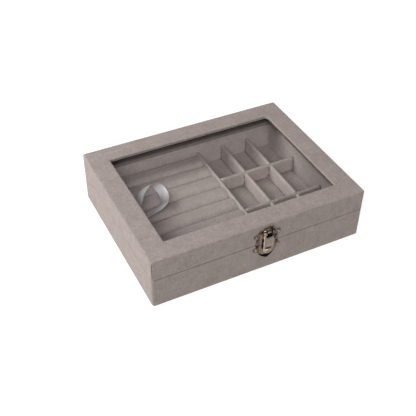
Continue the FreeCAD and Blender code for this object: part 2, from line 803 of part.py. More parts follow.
def nail(name, x, y, z, side):
    """A flat-headed nail of few faces, driven in from the front (side -1) or the back (side 1)."""
    shank = prism(f"{name}_shank", "nail_radius", "nail_length")
    place(shank, z="-nail_length")
    whole = doc.addObject("Part::Fuse", name)
    whole.Base = shank
    whole.Tool = prism(f"{name}_head", "nail_head_radius", "nail_head_height")
    whole.Placement.Rotation = FreeCAD.Rotation(FreeCAD.Vector(1, 0, 0), -90 * side)
    place(whole, x, y, z)
    return whole


def nail_group(label, places, y, side):
    group = doc.addObject("Part::Compound", label)
    group.Links = [nail(f"{label}_one", x, y, z, side) for x, z in places]
    return keep(group, label)


def clasp_nails():
    for part, height in (("lid", "clasp_lid_ear"), ("base", "clasp_base_ear")):
        places = [(ear_nail_place(side), height) for side in (-1, 1)]
        nail_group(f"clasp_{part}_nails", places, "-clasp_face", -1)


def hinge_leaf(label, middle, up, knuckles):
    """One leaf of a butt hinge on the back face. up is 1 for the lid's leaf and -1 for the base's."""
    body = new_body(label)
    near_edge = f"base_height + {up} * hinge_knuckle_room"
    far_edge = f"base_height + {up} * hinge_leaf_height"
    low, high = (near_edge, far_edge) if up > 0 else (far_edge, near_edge)
    plate = sketch_on(body, "XZ_Plane", "-half_depth")
    rectangle(plate, f"{middle} - hinge_width / 2", f"{middle} + hinge_width / 2", low, high)
    pad(body, plate, "hinge_leaf_thickness", backwards=True)
    far_place = number(far_edge)
    round_edges(body, "hinge_leaf_corner_radius",
                lambda box: near(box.XLength, 0) and near(box.ZMin, far_place) and near(box.ZMax, far_place))
    for centre, length in knuckles:
        tongue = sketch_on(body, "XZ_Plane", "-half_depth")
        root, tip = ("base_height", near_edge) if up > 0 else (near_edge, "base_height")
        rectangle(tongue, f"{centre} - ({length}) / 2", f"{centre} + ({length}) / 2", root, tip)
        pad(body, tongue, "hinge_leaf_thickness", backwards=True)
        knuckle(body, "hinge_axis_reach", "base_height", "hinge_knuckle_radius", centre, length)
    pin_hole(body, "hinge_axis_reach", "base_height", "hinge_pin_radius", middle, "hinge_width")
    holes = sketch_on(body, "XZ_Plane", "-(half_depth - overrun)")
    for x, z in leaf_nail_places(middle, up):
        circle(holes, x, z, "nail_radius + running_clearance")
    pocket(body, holes, "hinge_leaf_thickness + 2 * overrun")


def leaf_nail_places(middle, up):
    height = f"base_height + {up} * (hinge_knuckle_room + hinge_leaf_height) / 2"
    return [(f"{middle} + {side} * hinge_nail_spacing / 2", height) for side in (-1, 1)]


def hinges():
    middles = {"left": "-hinge_spacing / 2", "right": "hinge_spacing / 2"}
    outer_length = "(hinge_width - hinge_knuckle_length) / 2 - knuckle_side_clearance"
    outer_shift = f"(hinge_width - ({outer_length})) / 2"
    for name, middle in middles.items():
        outer = [(f"{middle} + {side} * {outer_shift}", outer_length) for side in (-1, 1)]
        hinge_leaf(f"{name}_hinge_base_leaf", middle, -1, outer)
        hinge_leaf(f"{name}_hinge_lid_leaf", middle, 1, [(middle, "hinge_knuckle_length")])
        pin(f"{name}_hinge_pin", middle, "hinge_width + 2 * pin_end_reach",
            "hinge_axis_reach", "base_height", "hinge_pin_radius")
    for part, up in (("lid", 1), ("base", -1)):
        places = [spot for middle in middles.values() for spot in leaf_nail_places(middle, up)]
        nail_group(f"hinge_{part}_nails", places, "half_depth + hinge_leaf_thickness", 1)


# The ribbon stay

def ribbon_stay():
    """One loop of ribbon between the left walls of base and lid, leaning back in the closed case."""
    loop = doc.addObject("PartDesign::Body", "ribbon_loop")
    sketch = sketch_on(loop, "XY_Plane")
    half = "ribbon_thickness / 2"
    height = "ribbon_loop_height"
    middle = "ribbon_loop_height / 2"
    reach = "ribbon_reach"
    root = "-ribbon_reach"
    outer = f"({middle} + {half})"
    inner = f"({middle} - {half})"
    outline(sketch,
            (root, f"-{half}"),
            (reach, f"-{half}"),
            (f"{reach} + {outer}", middle, outer, 1),
            (reach, f"{height} + {half}", outer, 1),
            (root, f"{height} + {half}"),
            (root, f"{height} - {half}"),
            (reach, f"{height} - {half}"),
            (f"{reach} + {inner}", middle, inner, -1),
            (reach, half, inner, -1),
            (root, half),
            (root, f"-{half}"))
    pad(loop, sketch, "ribbon_width", midplane=True)
    heading = number("ribbon_heading / 1 deg")
    lean = number("ribbon_lean / 1 deg")
    loop.Placement.Rotation = FreeCAD.Rotation(heading, 0, 90 - lean)
    place(loop, "-room_half_width", "ribbon_place", "ribbon_low")
    wall = doc.addObject("Part::Box", "ribbon_wall")
    bind(wall, "Length", "case_width")
    bind(wall, "Width", "2 * case_depth")
    bind(wall, "Height", "2 * case_height")
    place(wall, "ribbon_clearance - room_half_width - case_width", "-case_depth", "0")
    ribbon = doc.addObject("Part::Cut", "ribbon_stay")
    ribbon.Base = loop
    ribbon.Tool = wall
    keep(ribbon, "ribbon_stay")


def write_parts():
    """Checks every object, then writes each sub-part to its own file."""
    doc.recompute()
    for thing in doc.Objects:
        if "Invalid" in thing.State or "Error" in thing.State:
            raise RuntimeError(f"{thing.Label} did not build")
    for piece in pieces:
        if piece.Shape.isNull() or not piece.Shape.isValid() or not piece.Shape.Solids:
            raise RuntimeError(f"{piece.Label} is not a sound solid")
    os.makedirs("parts", exist_ok=True)
    for piece in pieces:
        piece.Shape.exportStep(os.path.join("parts", f"{piece.Label}.step"))
    print(len(pieces), "sub-parts written")


fill_sheets()
base_shell()
dividers()
for roll in range(1, ROLL_COUNT + 1):
    ring_roll(roll)
lid_shell()
clasp_lid_plate()
clasp_base_plate()
clasp_hasp()
pin("clasp_pin", "clasp_place", "hasp_knuckle_width + 2 * pin_end_reach",
    "-hasp_axis_reach", "hasp_axis_height", "hasp_pin_radius")
clasp_nails()
hinges()
ribbon_stay()
write_parts()
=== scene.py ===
import math

import bmesh
import bpy
from mathutils import Matrix, Vector, noise


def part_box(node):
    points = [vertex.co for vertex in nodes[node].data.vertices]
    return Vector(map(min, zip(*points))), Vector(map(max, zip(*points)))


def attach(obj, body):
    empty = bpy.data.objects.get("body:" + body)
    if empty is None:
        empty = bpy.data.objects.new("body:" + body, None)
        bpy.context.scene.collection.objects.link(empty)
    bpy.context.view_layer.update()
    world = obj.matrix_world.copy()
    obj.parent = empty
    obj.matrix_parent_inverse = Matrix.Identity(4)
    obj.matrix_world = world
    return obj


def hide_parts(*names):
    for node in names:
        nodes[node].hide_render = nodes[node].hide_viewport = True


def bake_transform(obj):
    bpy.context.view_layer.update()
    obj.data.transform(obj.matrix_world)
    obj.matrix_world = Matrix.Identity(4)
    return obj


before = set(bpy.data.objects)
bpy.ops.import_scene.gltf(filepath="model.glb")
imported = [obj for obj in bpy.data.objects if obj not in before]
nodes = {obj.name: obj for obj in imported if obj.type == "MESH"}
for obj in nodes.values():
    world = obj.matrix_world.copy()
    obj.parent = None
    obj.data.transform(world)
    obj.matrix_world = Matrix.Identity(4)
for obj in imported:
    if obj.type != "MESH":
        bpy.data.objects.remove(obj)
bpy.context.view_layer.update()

MM = 0.001
WHITE = (1, 1, 1, 1)


def low_high(node):
    """A CAD node's lowest and highest corner, in millimetres."""
    low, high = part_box(node)
    return low / MM, high / MM


# Materials

def new_material(name):
    material = bpy.data.materials.new(name)
    material.use_nodes = True
    tree = material.node_tree
    return material, tree, tree.nodes["Principled BSDF"]


def add_node(tree, kind, **settings):
    node = tree.nodes.new(kind)
    for key, value in settings.items():
        if key in node.inputs:
            node.inputs[key].default_value = value
        else:
            setattr(node, key, value)
    return node


def set_sockets(node, values):
    for name, value in values.items():
        node.inputs[name].default_value = value


def object_position(tree, stretch=(1, 1, 1)):
    """Positions in millimetres on the surface at rest, optionally drawn out along an axis."""
    position = add_node(tree, "ShaderNodeTexCoord")
    scale = add_node(tree, "ShaderNodeVectorMath", operation="MULTIPLY")
    scale.inputs[1].default_value = [1 / (MM * share) for share in stretch]
    tree.links.new(position.outputs["Object"], scale.inputs[0])
    return scale.outputs["Vector"]


def noise_of(tree, position, size, detail=2.0, roughness=0.5):
    """A noise whose blobs are about size millimetres across."""
    made = add_node(tree, "ShaderNodeTexNoise", Scale=1 / size, Detail=detail, Roughness=roughness)
    tree.links.new(position, made.inputs["Vector"])
    return made.outputs["Fac"]


def ramp(tree, factor, low, high, dark, light):
    made = add_node(tree, "ShaderNodeMapRange")
    set_sockets(made, {"From Min": low, "From Max": high, "To Min": dark, "To Max": light})
    tree.links.new(factor, made.inputs["Value"])
    return made.outputs["Result"]


def multiply(tree, first, second):
    made = add_node(tree, "ShaderNodeMath", operation="MULTIPLY")
    tree.links.new(first, made.inputs[0])
    tree.links.new(second, made.inputs[1])
    return made.outputs["Value"]


def paint(tree, shader, colour, factor):
    made = add_node(tree, "ShaderNodeVectorMath", operation="SCALE")
    made.inputs[0].default_value = colour
    tree.links.new(factor, made.inputs["Scale"])
    tree.links.new(made.outputs["Vector"], shader.inputs["Base Color"])


def darkened(tree, tone, least):
    """Lets a mesh's own "dark" values, up to 1, paint shade into its colour: seams, shadow gaps, the shade
    under the window's rails and round the clasp, and darker outlines on the metal.

    Values below 0 paint highlights, on edges and elsewhere."""
    attribute = add_node(tree, "ShaderNodeAttribute", attribute_name="dark")
    made = add_node(tree, "ShaderNodeMath", operation="MULTIPLY_ADD")
    tree.links.new(attribute.outputs["Fac"], made.inputs[0])
    made.inputs[1].default_value = least - 1
    made.inputs[2].default_value = 1.0
    return multiply(tree, tone, made.outputs["Value"])


def bump(tree, height, strength, distance, normal=None):
    made = add_node(tree, "ShaderNodeBump", Strength=strength, Distance=distance * MM)
    tree.links.new(height, made.inputs["Height"])
    if normal is not None:
        tree.links.new(normal, made.inputs["Normal"])
    return made.outputs["Normal"]


def painted_facing_shade(tree, facing_shades):
    """Painted light and shade: the sides that face each given direction are painted lighter or darker."""
    position = add_node(tree, "ShaderNodeTexCoord")
    total = None
    for direction, amount in facing_shades.items():
        facing = add_node(tree, "ShaderNodeVectorMath", operation="DOT_PRODUCT")
        facing.inputs[1].default_value = direction
        tree.links.new(position.outputs["Normal"], facing.inputs[0])
        tone = ramp(tree, facing.outputs["Value"], 0.0, 1.0, 1.0, 1 + amount)
        total = tone if total is None else multiply(tree, total, tone)
    return total


NOISE_MOST = (0.3, 0.7)
NOISE_ALL = (0.25, 0.75)
STREAK_DRAW = (1, 1, 7)
CLOTH_DARKEST = 0.05
METAL_DARKEST = 0.03


def velvet(name, colour, sheen, mottle, facing_shades):
    """Short-napped cloth: cloudy patches of nap, upright streaks, fine flecks, a felty surface, and painted
    light and shade on the sides that face given directions.
    """
    material, tree, shader = new_material(name)
    position = object_position(tree)
    drawn_out = object_position(tree, STREAK_DRAW)
    mottled = (1 - mottle, 1 + mottle)
    streaked = (1 - 0.5 * mottle, 1 + 0.5 * mottle)
    flecked = (0.78, 1.22)
    clouds = ramp(tree, noise_of(tree, position, 9.0, 4.0, 0.6), *NOISE_MOST, *mottled)
    patches = ramp(tree, noise_of(tree, position, 2.4, 3.0, 0.65), *NOISE_MOST, *mottled)
    streaks = ramp(tree, noise_of(tree, drawn_out, 1.6, 2.0), *NOISE_MOST, *streaked)
    flecks = ramp(tree, noise_of(tree, position, 0.6, 2.0, 0.7), *NOISE_ALL, *flecked)
    tone = multiply(tree, multiply(tree, clouds, patches), multiply(tree, streaks, flecks))
    # Painted light and shade on the sides that face the given directions.
    tone = multiply(tree, tone, painted_facing_shade(tree, facing_shades))
    paint(tree, shader, colour, darkened(tree, tone, CLOTH_DARKEST))
    felt = bump(tree, noise_of(tree, position, 0.45, 3.0, 0.7), 0.35, 0.25)
    nap = bump(tree, noise_of(tree, position, 3.5, 3.0, 0.6), 0.22, 0.5, felt)
    tree.links.new(nap, shader.inputs["Normal"])
    set_sockets(shader, {"Roughness": 0.95, "Specular IOR Level": 0.1, "Sheen Weight": sheen})
    set_sockets(shader, {"Sheen Roughness": 0.45, "Sheen Tint": (0.9, 0.82, 0.78, 1)})
    return material


def metal(name, colour, roughness, wear):
    """Plated metal with a cloudy patina and fine rubbing marks. Its "dark" values paint shade and highlights
    into its colour, and make it dull where they are high.
    """
    material, tree, shader = new_material(name)
    position = object_position(tree)
    clouds = noise_of(tree, position, 2.4, 4.0, 0.65)
    tone = ramp(tree, clouds, *NOISE_MOST, 1 - wear, 1 + 0.3 * wear)
    paint(tree, shader, colour, darkened(tree, tone, METAL_DARKEST))
    rubbing = noise_of(tree, position, 0.7, 3.0, 0.6)
    polish = ramp(tree, rubbing, *NOISE_MOST, roughness * 0.7, roughness * 1.4)
    # The dark values carry painted shade and highlights; the metal turns dull where they pass half.
    painted_shade_values = add_node(tree, "ShaderNodeAttribute", attribute_name="dark")
    dullness = add_node(tree, "ShaderNodeMath", operation="MAXIMUM")
    tree.links.new(polish, dullness.inputs[0])
    tree.links.new(ramp(tree, painted_shade_values.outputs["Fac"], 0.5, 1.0, 0.0, 1.0), dullness.inputs[1])
    tree.links.new(dullness.outputs["Value"], shader.inputs["Roughness"])
    marks = bump(tree, noise_of(tree, position, 0.5, 3.0, 0.6), 0.12, 0.08)
    tree.links.new(marks, shader.inputs["Normal"])
    set_sockets(shader, {"Metallic": 1.0})
    return material


def fibreboard(name, colour):
    material, tree, shader = new_material(name)
    position = object_position(tree)
    tone = ramp(tree, noise_of(tree, position, 0.8, 4.0, 0.7), *NOISE_ALL, 0.8, 1.15)
    paint(tree, shader, colour, tone)
    tree.links.new(bump(tree, noise_of(tree, position, 0.6, 3.0), 0.3, 0.1), shader.inputs["Normal"])
    set_sockets(shader, {"Roughness": 0.85})
    return material


def felt(name, colour):
    material, tree, shader = new_material(name)
    position = object_position(tree)
    tone = ramp(tree, noise_of(tree, position, 1.2, 5.0, 0.75), *NOISE_MOST, 0.7, 1.3)
    paint(tree, shader, colour, tone)
    tree.links.new(bump(tree, noise_of(tree, position, 0.7, 4.0, 0.7), 0.5, 0.3), shader.inputs["Normal"])
    set_sockets(shader, {"Roughness": 1.0, "Sheen Weight": 0.2})
    return material


GLASS_MIRROR = 0.02
GLASS_FALLOFF = 5.0


def clear_glass(name):
    """A thin pane that lets light and shadow through and mirrors a little."""
    material, tree, shader = new_material(name)
    tree.nodes.remove(shader)
    through = add_node(tree, "ShaderNodeBsdfTransparent", Color=(0.99, 0.992, 0.99, 1))
    gloss = add_node(tree, "ShaderNodeBsdfGlossy", Color=WHITE, Roughness=0.02)
    facing = add_node(tree, "ShaderNodeLayerWeight", Blend=0.5)
    steep = add_node(tree, "ShaderNodeMath", operation="POWER")
    steep.inputs[1].default_value = GLASS_FALLOFF
    tree.links.new(facing.outputs["Facing"], steep.inputs[0])
    mix = add_node(tree, "ShaderNodeMixShader")
    tree.links.new(ramp(tree, steep.outputs["Value"], 0.0, 1.0, GLASS_MIRROR, 1.0), mix.inputs["Fac"])
    tree.links.new(through.outputs["BSDF"], mix.inputs[1])
    tree.links.new(gloss.outputs["BSDF"], mix.inputs[2])
    tree.links.new(mix.outputs["Shader"], tree.nodes["Material Output"].inputs["Surface"])
    return material


def satin(name, colour):
    """Smooth ribbon: fine threads along it and a soft silky shine."""
    material, tree, shader = new_material(name)
    threads = add_node(tree, "ShaderNodeTexWave", wave_type="BANDS", bands_direction="X", Scale=9.0,
                       Distortion=0.6, Detail=2.0)
    place = add_node(tree, "ShaderNodeUVMap", uv_map="along")
    tree.links.new(place.outputs["UV"], threads.inputs["Vector"])
    tone = ramp(tree, threads.outputs["Fac"], 0.0, 1.0, 0.93, 1.05)
    paint(tree, shader, colour, darkened(tree, tone, CLOTH_DARKEST))
    tree.links.new(bump(tree, threads.outputs["Fac"], 0.15, 0.05), shader.inputs["Normal"])
    set_sockets(shader, {"Roughness": 0.25, "Specular IOR Level": 1.0})
    set_sockets(shader, {"Anisotropic": 0.5, "Sheen Weight": 0.2})
    return material


FRONT, UP, LEFT = (0, -1, 0), (0, 0, 1), (-1, 0, 0)
# The dictionaries give the painted light and shade on the sides facing each direction.
COVER = velvet("cover_velvet", (0.272, 0.229, 0.214), 0.2, 0.09, {FRONT: -0.13, UP: 0.15})
# The lining is lighter than the cover's velvet, partly its own colour and partly painted light inside the
# case.
LINING = velvet("lining_velvet", (0.39, 0.333, 0.318), 0.2, 0.07, {FRONT: 0.22, UP: -0.08, LEFT: 0.12})
BOARD = fibreboard("fibreboard", (0.32, 0.22, 0.13))
# The retainer's card is near black, its own colour and also painted shade under the window's rails.
CARD = fibreboard("grey_card", (0.05, 0.045, 0.043))
FELT = felt("dark_felt", (0.05, 0.047, 0.046))
GLASS = clear_glass("window_glass")
PLATE_METAL = metal("tarnished_nickel", (0.22, 0.165, 0.127), 0.25, 0.4)
HASP_METAL = metal("rubbed_nickel", (0.29, 0.235, 0.197), 0.16, 0.35)
HINGE_METAL = metal("plain_nickel", (0.38, 0.335, 0.29), 0.3, 0.15)
SATIN = satin("silver_satin", (0.56, 0.535, 0.55))


# Mesh helpers

def shaded_mesh():
    """A new bmesh and its layer of "dark" values."""
    made = bmesh.new()
    return made, made.verts.layers.float.new("dark")


def finish_mesh(name, made, material):
    """Turns a bmesh drawn in millimetres into an object in the shared frame."""
    bmesh.ops.recalc_face_normals(made, faces=made.faces[:])
    bmesh.ops.scale(made, vec=(MM, MM, MM), verts=made.verts[:])
    mesh = bpy.data.meshes.new(name)
    made.to_mesh(mesh)
    made.free()
    for face in mesh.polygons:
        face.use_smooth = True
    mesh.materials.append(material)
    thing = bpy.data.objects.new(name, mesh)
    bpy.context.scene.collection.objects.link(thing)
    return thing


def stand_for(thing, body, node):
    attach(thing, body)
    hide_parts(node)


def unevenness(point, size, seed):
    """A smooth wander between about -1 and 1 for a point in millimetres."""
    return noise.noise(Vector(point) / size + Vector((seed, 2.3 * seed, -seed)))


def smooth_step(low, high, value):
    share = min(max((value - low) / (high - low), 0.0), 1.0)
    return share * share * (3 - 2 * share)


def loops_to_faces(made, loops, closed_along=False, closed_across=True):
    """Joins rings of vertices, all of one length, with quads."""
    for row in range(len(loops) if closed_along else len(loops) - 1):
        here, there = loops[row], loops[(row + 1) % len(loops)]
        count = len(here)
        for index in range(count if closed_across else count - 1):
            follower = (index + 1) % count
            made.faces.new((here[index], here[follower], there[follower], there[index]))


def closed_ends(made, loops):
    """Joins rings of vertices with quads and closes the first and the last ring."""
    loops_to_faces(made, loops)
    made.faces.new(loops[0])
    made.faces.new(loops[-1])


def spread(low, high, pitch):
    """Even steps from low to high, at most pitch apart, without the last."""
    count = max(1, math.ceil((high - low) / pitch))
    return [low + (high - low) * step / count for step in range(count)]


def circle(steps):
    """Pairs of cosine and sine, once round."""
    angles = [2 * math.pi * step / steps for step in range(steps)]
    return [(math.cos(angle), math.sin(angle)) for angle in angles]


# Velvet covers, swept round the case

CASE_WIDTH, CASE_DEPTH = 200, 155
SIDE_PITCH = 3.0
CORNER_STEPS = 6
LEAST_RADIUS = 0.02
BROAD_WANDER, FINE_WANDER = 14.0, 5.0
CLOTH = 0.75
RIM_EDGE = 0.5
RIM_INSET = 1.5
# Painted shade of the parting line on the sides and the back.
SIDE_RIM_DARK = 0.1
WINDOW_RAIL = 19.1
FOLD_RISE = 1.0
SIDE_FOLD_RISE = 2.0


def side_counts():
    across, deep = math.ceil(CASE_WIDTH / SIDE_PITCH), math.ceil(CASE_DEPTH / SIDE_PITCH)
    return across, deep, across, deep


def contour(half_x, half_y, radii):
    """Points round a rectangle, always the same number, from the front left on by way of the front right.

    The radii are those of the front right, back right, back left and front left corners."""
    points = []
    corners = ((half_x, -half_y, -90), (half_x, half_y, 0), (-half_x, half_y, 90), (-half_x, -half_y, 180))
    start = (-half_x + radii[3], -half_y)
    for (x, y, angle), count, radius in zip(corners, side_counts(), radii):
        turn = math.radians(angle)
        centre = (x - math.copysign(radius, x), y - math.copysign(radius, y))
        end = (centre[0] + radius * math.cos(turn), centre[1] + radius * math.sin(turn))
        for step in range(1, count + 1):
            share = step / count
            points.append((start[0] + (end[0] - start[0]) * share, start[1] + (end[1] - start[1]) * share))
        for step in range(1, CORNER_STEPS + 1):
            around = turn + math.radians(90) * step / CORNER_STEPS
            points.append((centre[0] + radius * math.cos(around), centre[1] + radius * math.sin(around)))
        start = points[-1]
    return points


def corner_middles():
    """The column of a contour at the middle of each corner."""
    columns, place = [], -1
    for count in side_counts():
        place += count + CORNER_STEPS
        columns.append(place - CORNER_STEPS // 2)
    return columns


def window_dark(window, dark, inset, height, x, y, half_x):
    """Painted shade on the tucked cloth: at the back's left end the fold is left light, and on the right the
    painted shade reaches higher up.
    """
    above_glass = height - window["glass"]
    if y > 0 and above_glass > FOLD_RISE:
        dark *= smooth_step(*window["fold"], x)
    if x > half_x - window["inset"] - 0.1 and above_glass < SIDE_FOLD_RISE:
        turned_in = smooth_step(window["inset"] - 1.0, window["inset"] - 0.2, inset)
        dark = max(dark, window["side"] * turned_in)
    return dark


def swept_cover(name, half_x, half_y, corner, profile, rim, wander, seed, window=None, seam=None):
    """Sweeps a closed profile of (inset, height, dark) points round the case.

    The rim gives its height, how far its painted shade reaches and how dark it is in front. A window gives
    its inset, the radii of its corners, the height of its glass, where along the back the cloth's fold goes
    into the painted shade, and how dark the painted shade on its right side is. A seam gives the heights
    between which the cloth's edges meet at each corner, how far it sinks in and how dark its painted shade
    is."""
    made, dark_values = shaded_mesh()
    middles = corner_middles()
    loops = []
    for inset, height, dark in profile:
        radius = max(corner - inset, LEAST_RADIUS)
        radii = [radius] * 4
        if window is not None:
            share = smooth_step(window["inset"] - 5.0, window["inset"] - 1.0, inset)
            radii = [radius + (wanted - radius) * share for wanted in window["radii"]]
        at_rim = inset < RIM_INSET and abs(height - rim["height"]) < rim["reach"]
        at_seam = seam is not None and inset < 0.1 and seam["low"] < height < seam["high"]
        ring = []
        for column, (x, y) in enumerate(contour(half_x - inset, half_y - inset, radii)):
            point = Vector((x, y, height))
            shift = wander * unevenness(point, BROAD_WANDER, seed)
            shift += 0.4 * wander * unevenness(point, FINE_WANDER, seed + 7)
            sideways = abs(x / half_x) > abs(y / half_y)
            outward = Vector((x / half_x, 0, 0)) if sideways else Vector((0, y / half_y, 0))
            if outward.length > 0:
                outward.normalize()
            point -= outward * abs(shift)
            value = dark
            if window is not None:
                value = window_dark(window, dark, inset, height, x, y, half_x)
            # Painted shade along the parting line, darker in front.
            if at_rim:
                in_front = y < 0.05 - half_y + inset
                value = rim["dark"] if in_front else SIDE_RIM_DARK
            # Painted shade in the groove of the seam at each corner.
            if at_seam and column in middles:
                point -= Vector((math.copysign(1, x), math.copysign(1, y), 0)) * seam["depth"]
                value = max(dark, seam["dark"])
            vertex = made.verts.new(point)
            vertex[dark_values] = value
            ring.append(vertex)
        loops.append(ring)
    loops_to_faces(made, loops, closed_along=True)
    return finish_mesh(name, made, COVER)


def arc_points(centre, radius, start, end, steps):
    """Profile points on an arc, angles in degrees from inward to upward."""
    points = []
    for step in range(steps + 1):
        angle = math.radians(start + (end - start) * step / steps)
        points.append((centre[0] - radius * math.cos(angle), centre[1] + radius * math.sin(angle)))
    return points


def wall_points(low, high):
    return [(0, height) for height in spread(low, high, SIDE_PITCH)][1:]


def base_cover():
    """The base's cloth turns in under the bottom and over the rim."""
    low, high = low_high("base_velvet_wrap")
    foot, top = low.z, high.z
    fold, turn_in, inner = 1.2, 12.0, 0.76
    profile = [(turn_in, foot + CLOTH), (turn_in, foot)]
    profile += [(inset, foot) for inset in spread(9.0, fold, 2.5)]
    profile += arc_points((fold, foot + fold), fold, -90, 0, 5)
    profile += wall_points(foot + fold, top - RIM_EDGE)
    profile += arc_points((RIM_EDGE, top - RIM_EDGE), RIM_EDGE, 0, 90, 4)
    profile += [(2.0, top), (3.6, top), (4.8, top), (5.35, top - 0.15)]
    profile += [(5.38, top - CLOTH), (3.0, top - CLOTH), (0.78, top - 0.78)]
    profile += [(inner, height) for height in reversed(spread(foot + fold, top - 3.0, 6.0))]
    profile += [(1.0, foot + 0.78), (4.0, foot + CLOTH)]
    profile = [(inset, height, 0.0) for inset, height in profile]
    # The rim's dark is painted shade along the parting line.
    rim = {"height": top, "reach": 0.3, "dark": 0.25}
    cover = swept_cover("base_cover", high.x, high.y, 2.4, profile, rim, 0.12, 1.7)
    stand_for(cover, "base", "base_velvet_wrap")


def lid_cover():
    """The lid's cloth turns over the window's edge and is tucked in above the glass, in the dark, where it
    carries painted shade.
    """
    low, high = low_high("lid_velvet_wrap")
    foot, top = low.z, high.z
    rail = WINDOW_RAIL
    lip, turn, inner = 1.15, 0.8, 0.76
    glass_top = low_high("glass_pane")[1].z
    profile = [(5.38, foot + CLOTH), (5.35, foot + 0.15), (4.8, foot), (3.6, foot), (2.0, foot)]
    profile += arc_points((RIM_EDGE, foot + RIM_EDGE), RIM_EDGE, -90, 0, 4)
    profile += wall_points(foot + RIM_EDGE, top - lip)
    profile += arc_points((lip, top - lip), lip, 0, 90, 5)
    profile += [(inset, top) for inset in spread(lip, rail - turn, 2.0)][1:]
    for around in map(math.radians, (0, 22, 45, 67, 90)):
        profile.append((rail - turn + turn * math.sin(around), top - turn + turn * math.cos(around)))
    profile += [(rail, top - 2.2), (rail - 0.05, top - 2.6)]
    profile = [(inset, height, 0.0) for inset, height in profile]
    tucked = [(rail - 0.62, top - 2.75), (rail - 0.63, glass_top + 1.2), (rail - 0.64, glass_top + 0.9)]
    tucked += [(rail - 0.65, glass_top + 0.15), (rail - 0.7, glass_top + 0.03)]
    # The tucked cloth is painted dark, as painted shade under the window's rails.
    profile += [(inset, height, 1.0) for inset, height in tucked]
    hidden = [(rail - 8, glass_top + 0.03), (rail - 8, glass_top + CLOTH), (rail - CLOTH, glass_top + 0.78)]
    hidden += [(rail - inner, top - 0.82)] + [(inset, top - 0.78) for inset in (15.0, 10.0, 5.0, 1.2)]
    hidden += [(inner, height) for height in (top - 1.5, top - 8.0, foot + 3.0)]
    hidden += [(0.78, foot + 0.78), (3.0, foot + CLOTH)]
    profile += [(inset, height, 0.0) for inset, height in hidden]
    # The rim's dark is painted shade along the parting line.
    rim = {"height": foot, "reach": 0.45, "dark": 0.55}
    window = {"inset": rail, "radii": (0.3, 3.2, 0.3, 0.3), "glass": glass_top}
    # The fold sets where the painted shade starts along the back; the side sets the painted shade on the
    # right.
    window |= {"fold": (-74.0, -56.0), "side": 0.95}
    # The seam's dark is painted shade in its groove.
    seam = {"low": foot + RIM_EDGE, "high": top - 2.0, "depth": 0.22, "dark": 0.85}
    cover = swept_cover("lid_cover", high.x, high.y, 2.2, profile, rim, 0.1, 4.1, window, seam)
    stand_for(cover, "lid", "lid_velvet_wrap")


# Linings and dividers

BOX_PITCH = 4.0


def soft_box_into(made, low, high, radius, wander=0.0, seed=0.0):
    """A box with rounded edges, cut into a grid so that its cloth can be uneven."""
    def stations(start, end):
        ends = [radius * math.tan(math.radians(angle)) for angle in (45, 30, 15, 0)]
        near = [start + radius - step for step in ends]
        far = [end - radius + step for step in reversed(ends)]
        return near + spread(near[-1], far[0], BOX_PITCH)[1:] + far

    grids = [stations(low[axis], high[axis]) for axis in range(3)]
    verts = {}

    def vertex(places):
        key = tuple(places[axis] for axis in range(3))
        if key not in verts:
            point = Vector([grid[place] for grid, place in zip(grids, key)])
            limits = [(low[axis] + radius, high[axis] - radius) for axis in range(3)]
            core = Vector([min(max(value, least), most) for value, (least, most) in zip(point, limits)])
            away = point - core
            place = core + away.normalized() * radius if away.length > 1e-9 else point
            if wander:
                place -= away.normalized() * abs(wander * unevenness(place, 9.0, seed))
            verts[key] = made.verts.new(place)
        return verts[key]

    sizes = [len(grid) for grid in grids]
    for axis in range(3):
        first, second = [other for other in range(3) if other != axis]
        for side in (0, sizes[axis] - 1):
            for i in range(sizes[first] - 1):
                for j in range(sizes[second] - 1):
                    square = ((i, j), (i + 1, j), (i + 1, j + 1), (i, j + 1))
                    made.faces.new([vertex({axis: side, first: a, second: b}) for a, b in square])


DIVIDER_HALF = 1.65
LAP_ROOM = 0.1
LINER_PUFF = 0.6
LINER_ROUND = 0.6
LINER_WANDER = 0.08
RAIL_SHADE = {"most": 0.8, "heights": (28.0, 35.0), "corner_more": 0.12, "corner": (-60.0, -72.0)}
RIGHT_SHADE = {"most": 0.4, "run": (45.0, -20.0)}
LID_SHADE = {"most": 0.6, "depth": 5.0}


def liner_dark(part, side, point, top):
    """The shade of the window's rails on the liners."""
    if side == "back":
        in_corner = RAIL_SHADE["corner_more"] * smooth_step(*RAIL_SHADE["corner"], point.x)
        return (RAIL_SHADE["most"] + in_corner) * smooth_step(*RAIL_SHADE["heights"], point.z)
    if side == "right":
        return RIGHT_SHADE["most"] * smooth_step(*RIGHT_SHADE["run"], point.y)
    if part == "lid":
        return LID_SHADE["most"] * smooth_step(top - LID_SHADE["depth"], top, point.z)
    return 0.0


def linings():
    for part in ("base", "lid"):
        for seed, side in enumerate(("front", "back", "left", "right"), start=1):
            node = f"{part}_{side}_liner"
            low, high = low_high(node)
            if part == "base":
                high.z += LINER_PUFF
            else:
                low.z -= LINER_PUFF
            made, dark_values = shaded_mesh()
            soft_box_into(made, low, high, LINER_ROUND, LINER_WANDER, seed + 0.3)
            for vertex in made.verts:
                vertex[dark_values] = liner_dark(part, side, vertex.co, high.z)
            stand_for(finish_mesh(f"{node}_cloth", made, LINING), part, node)


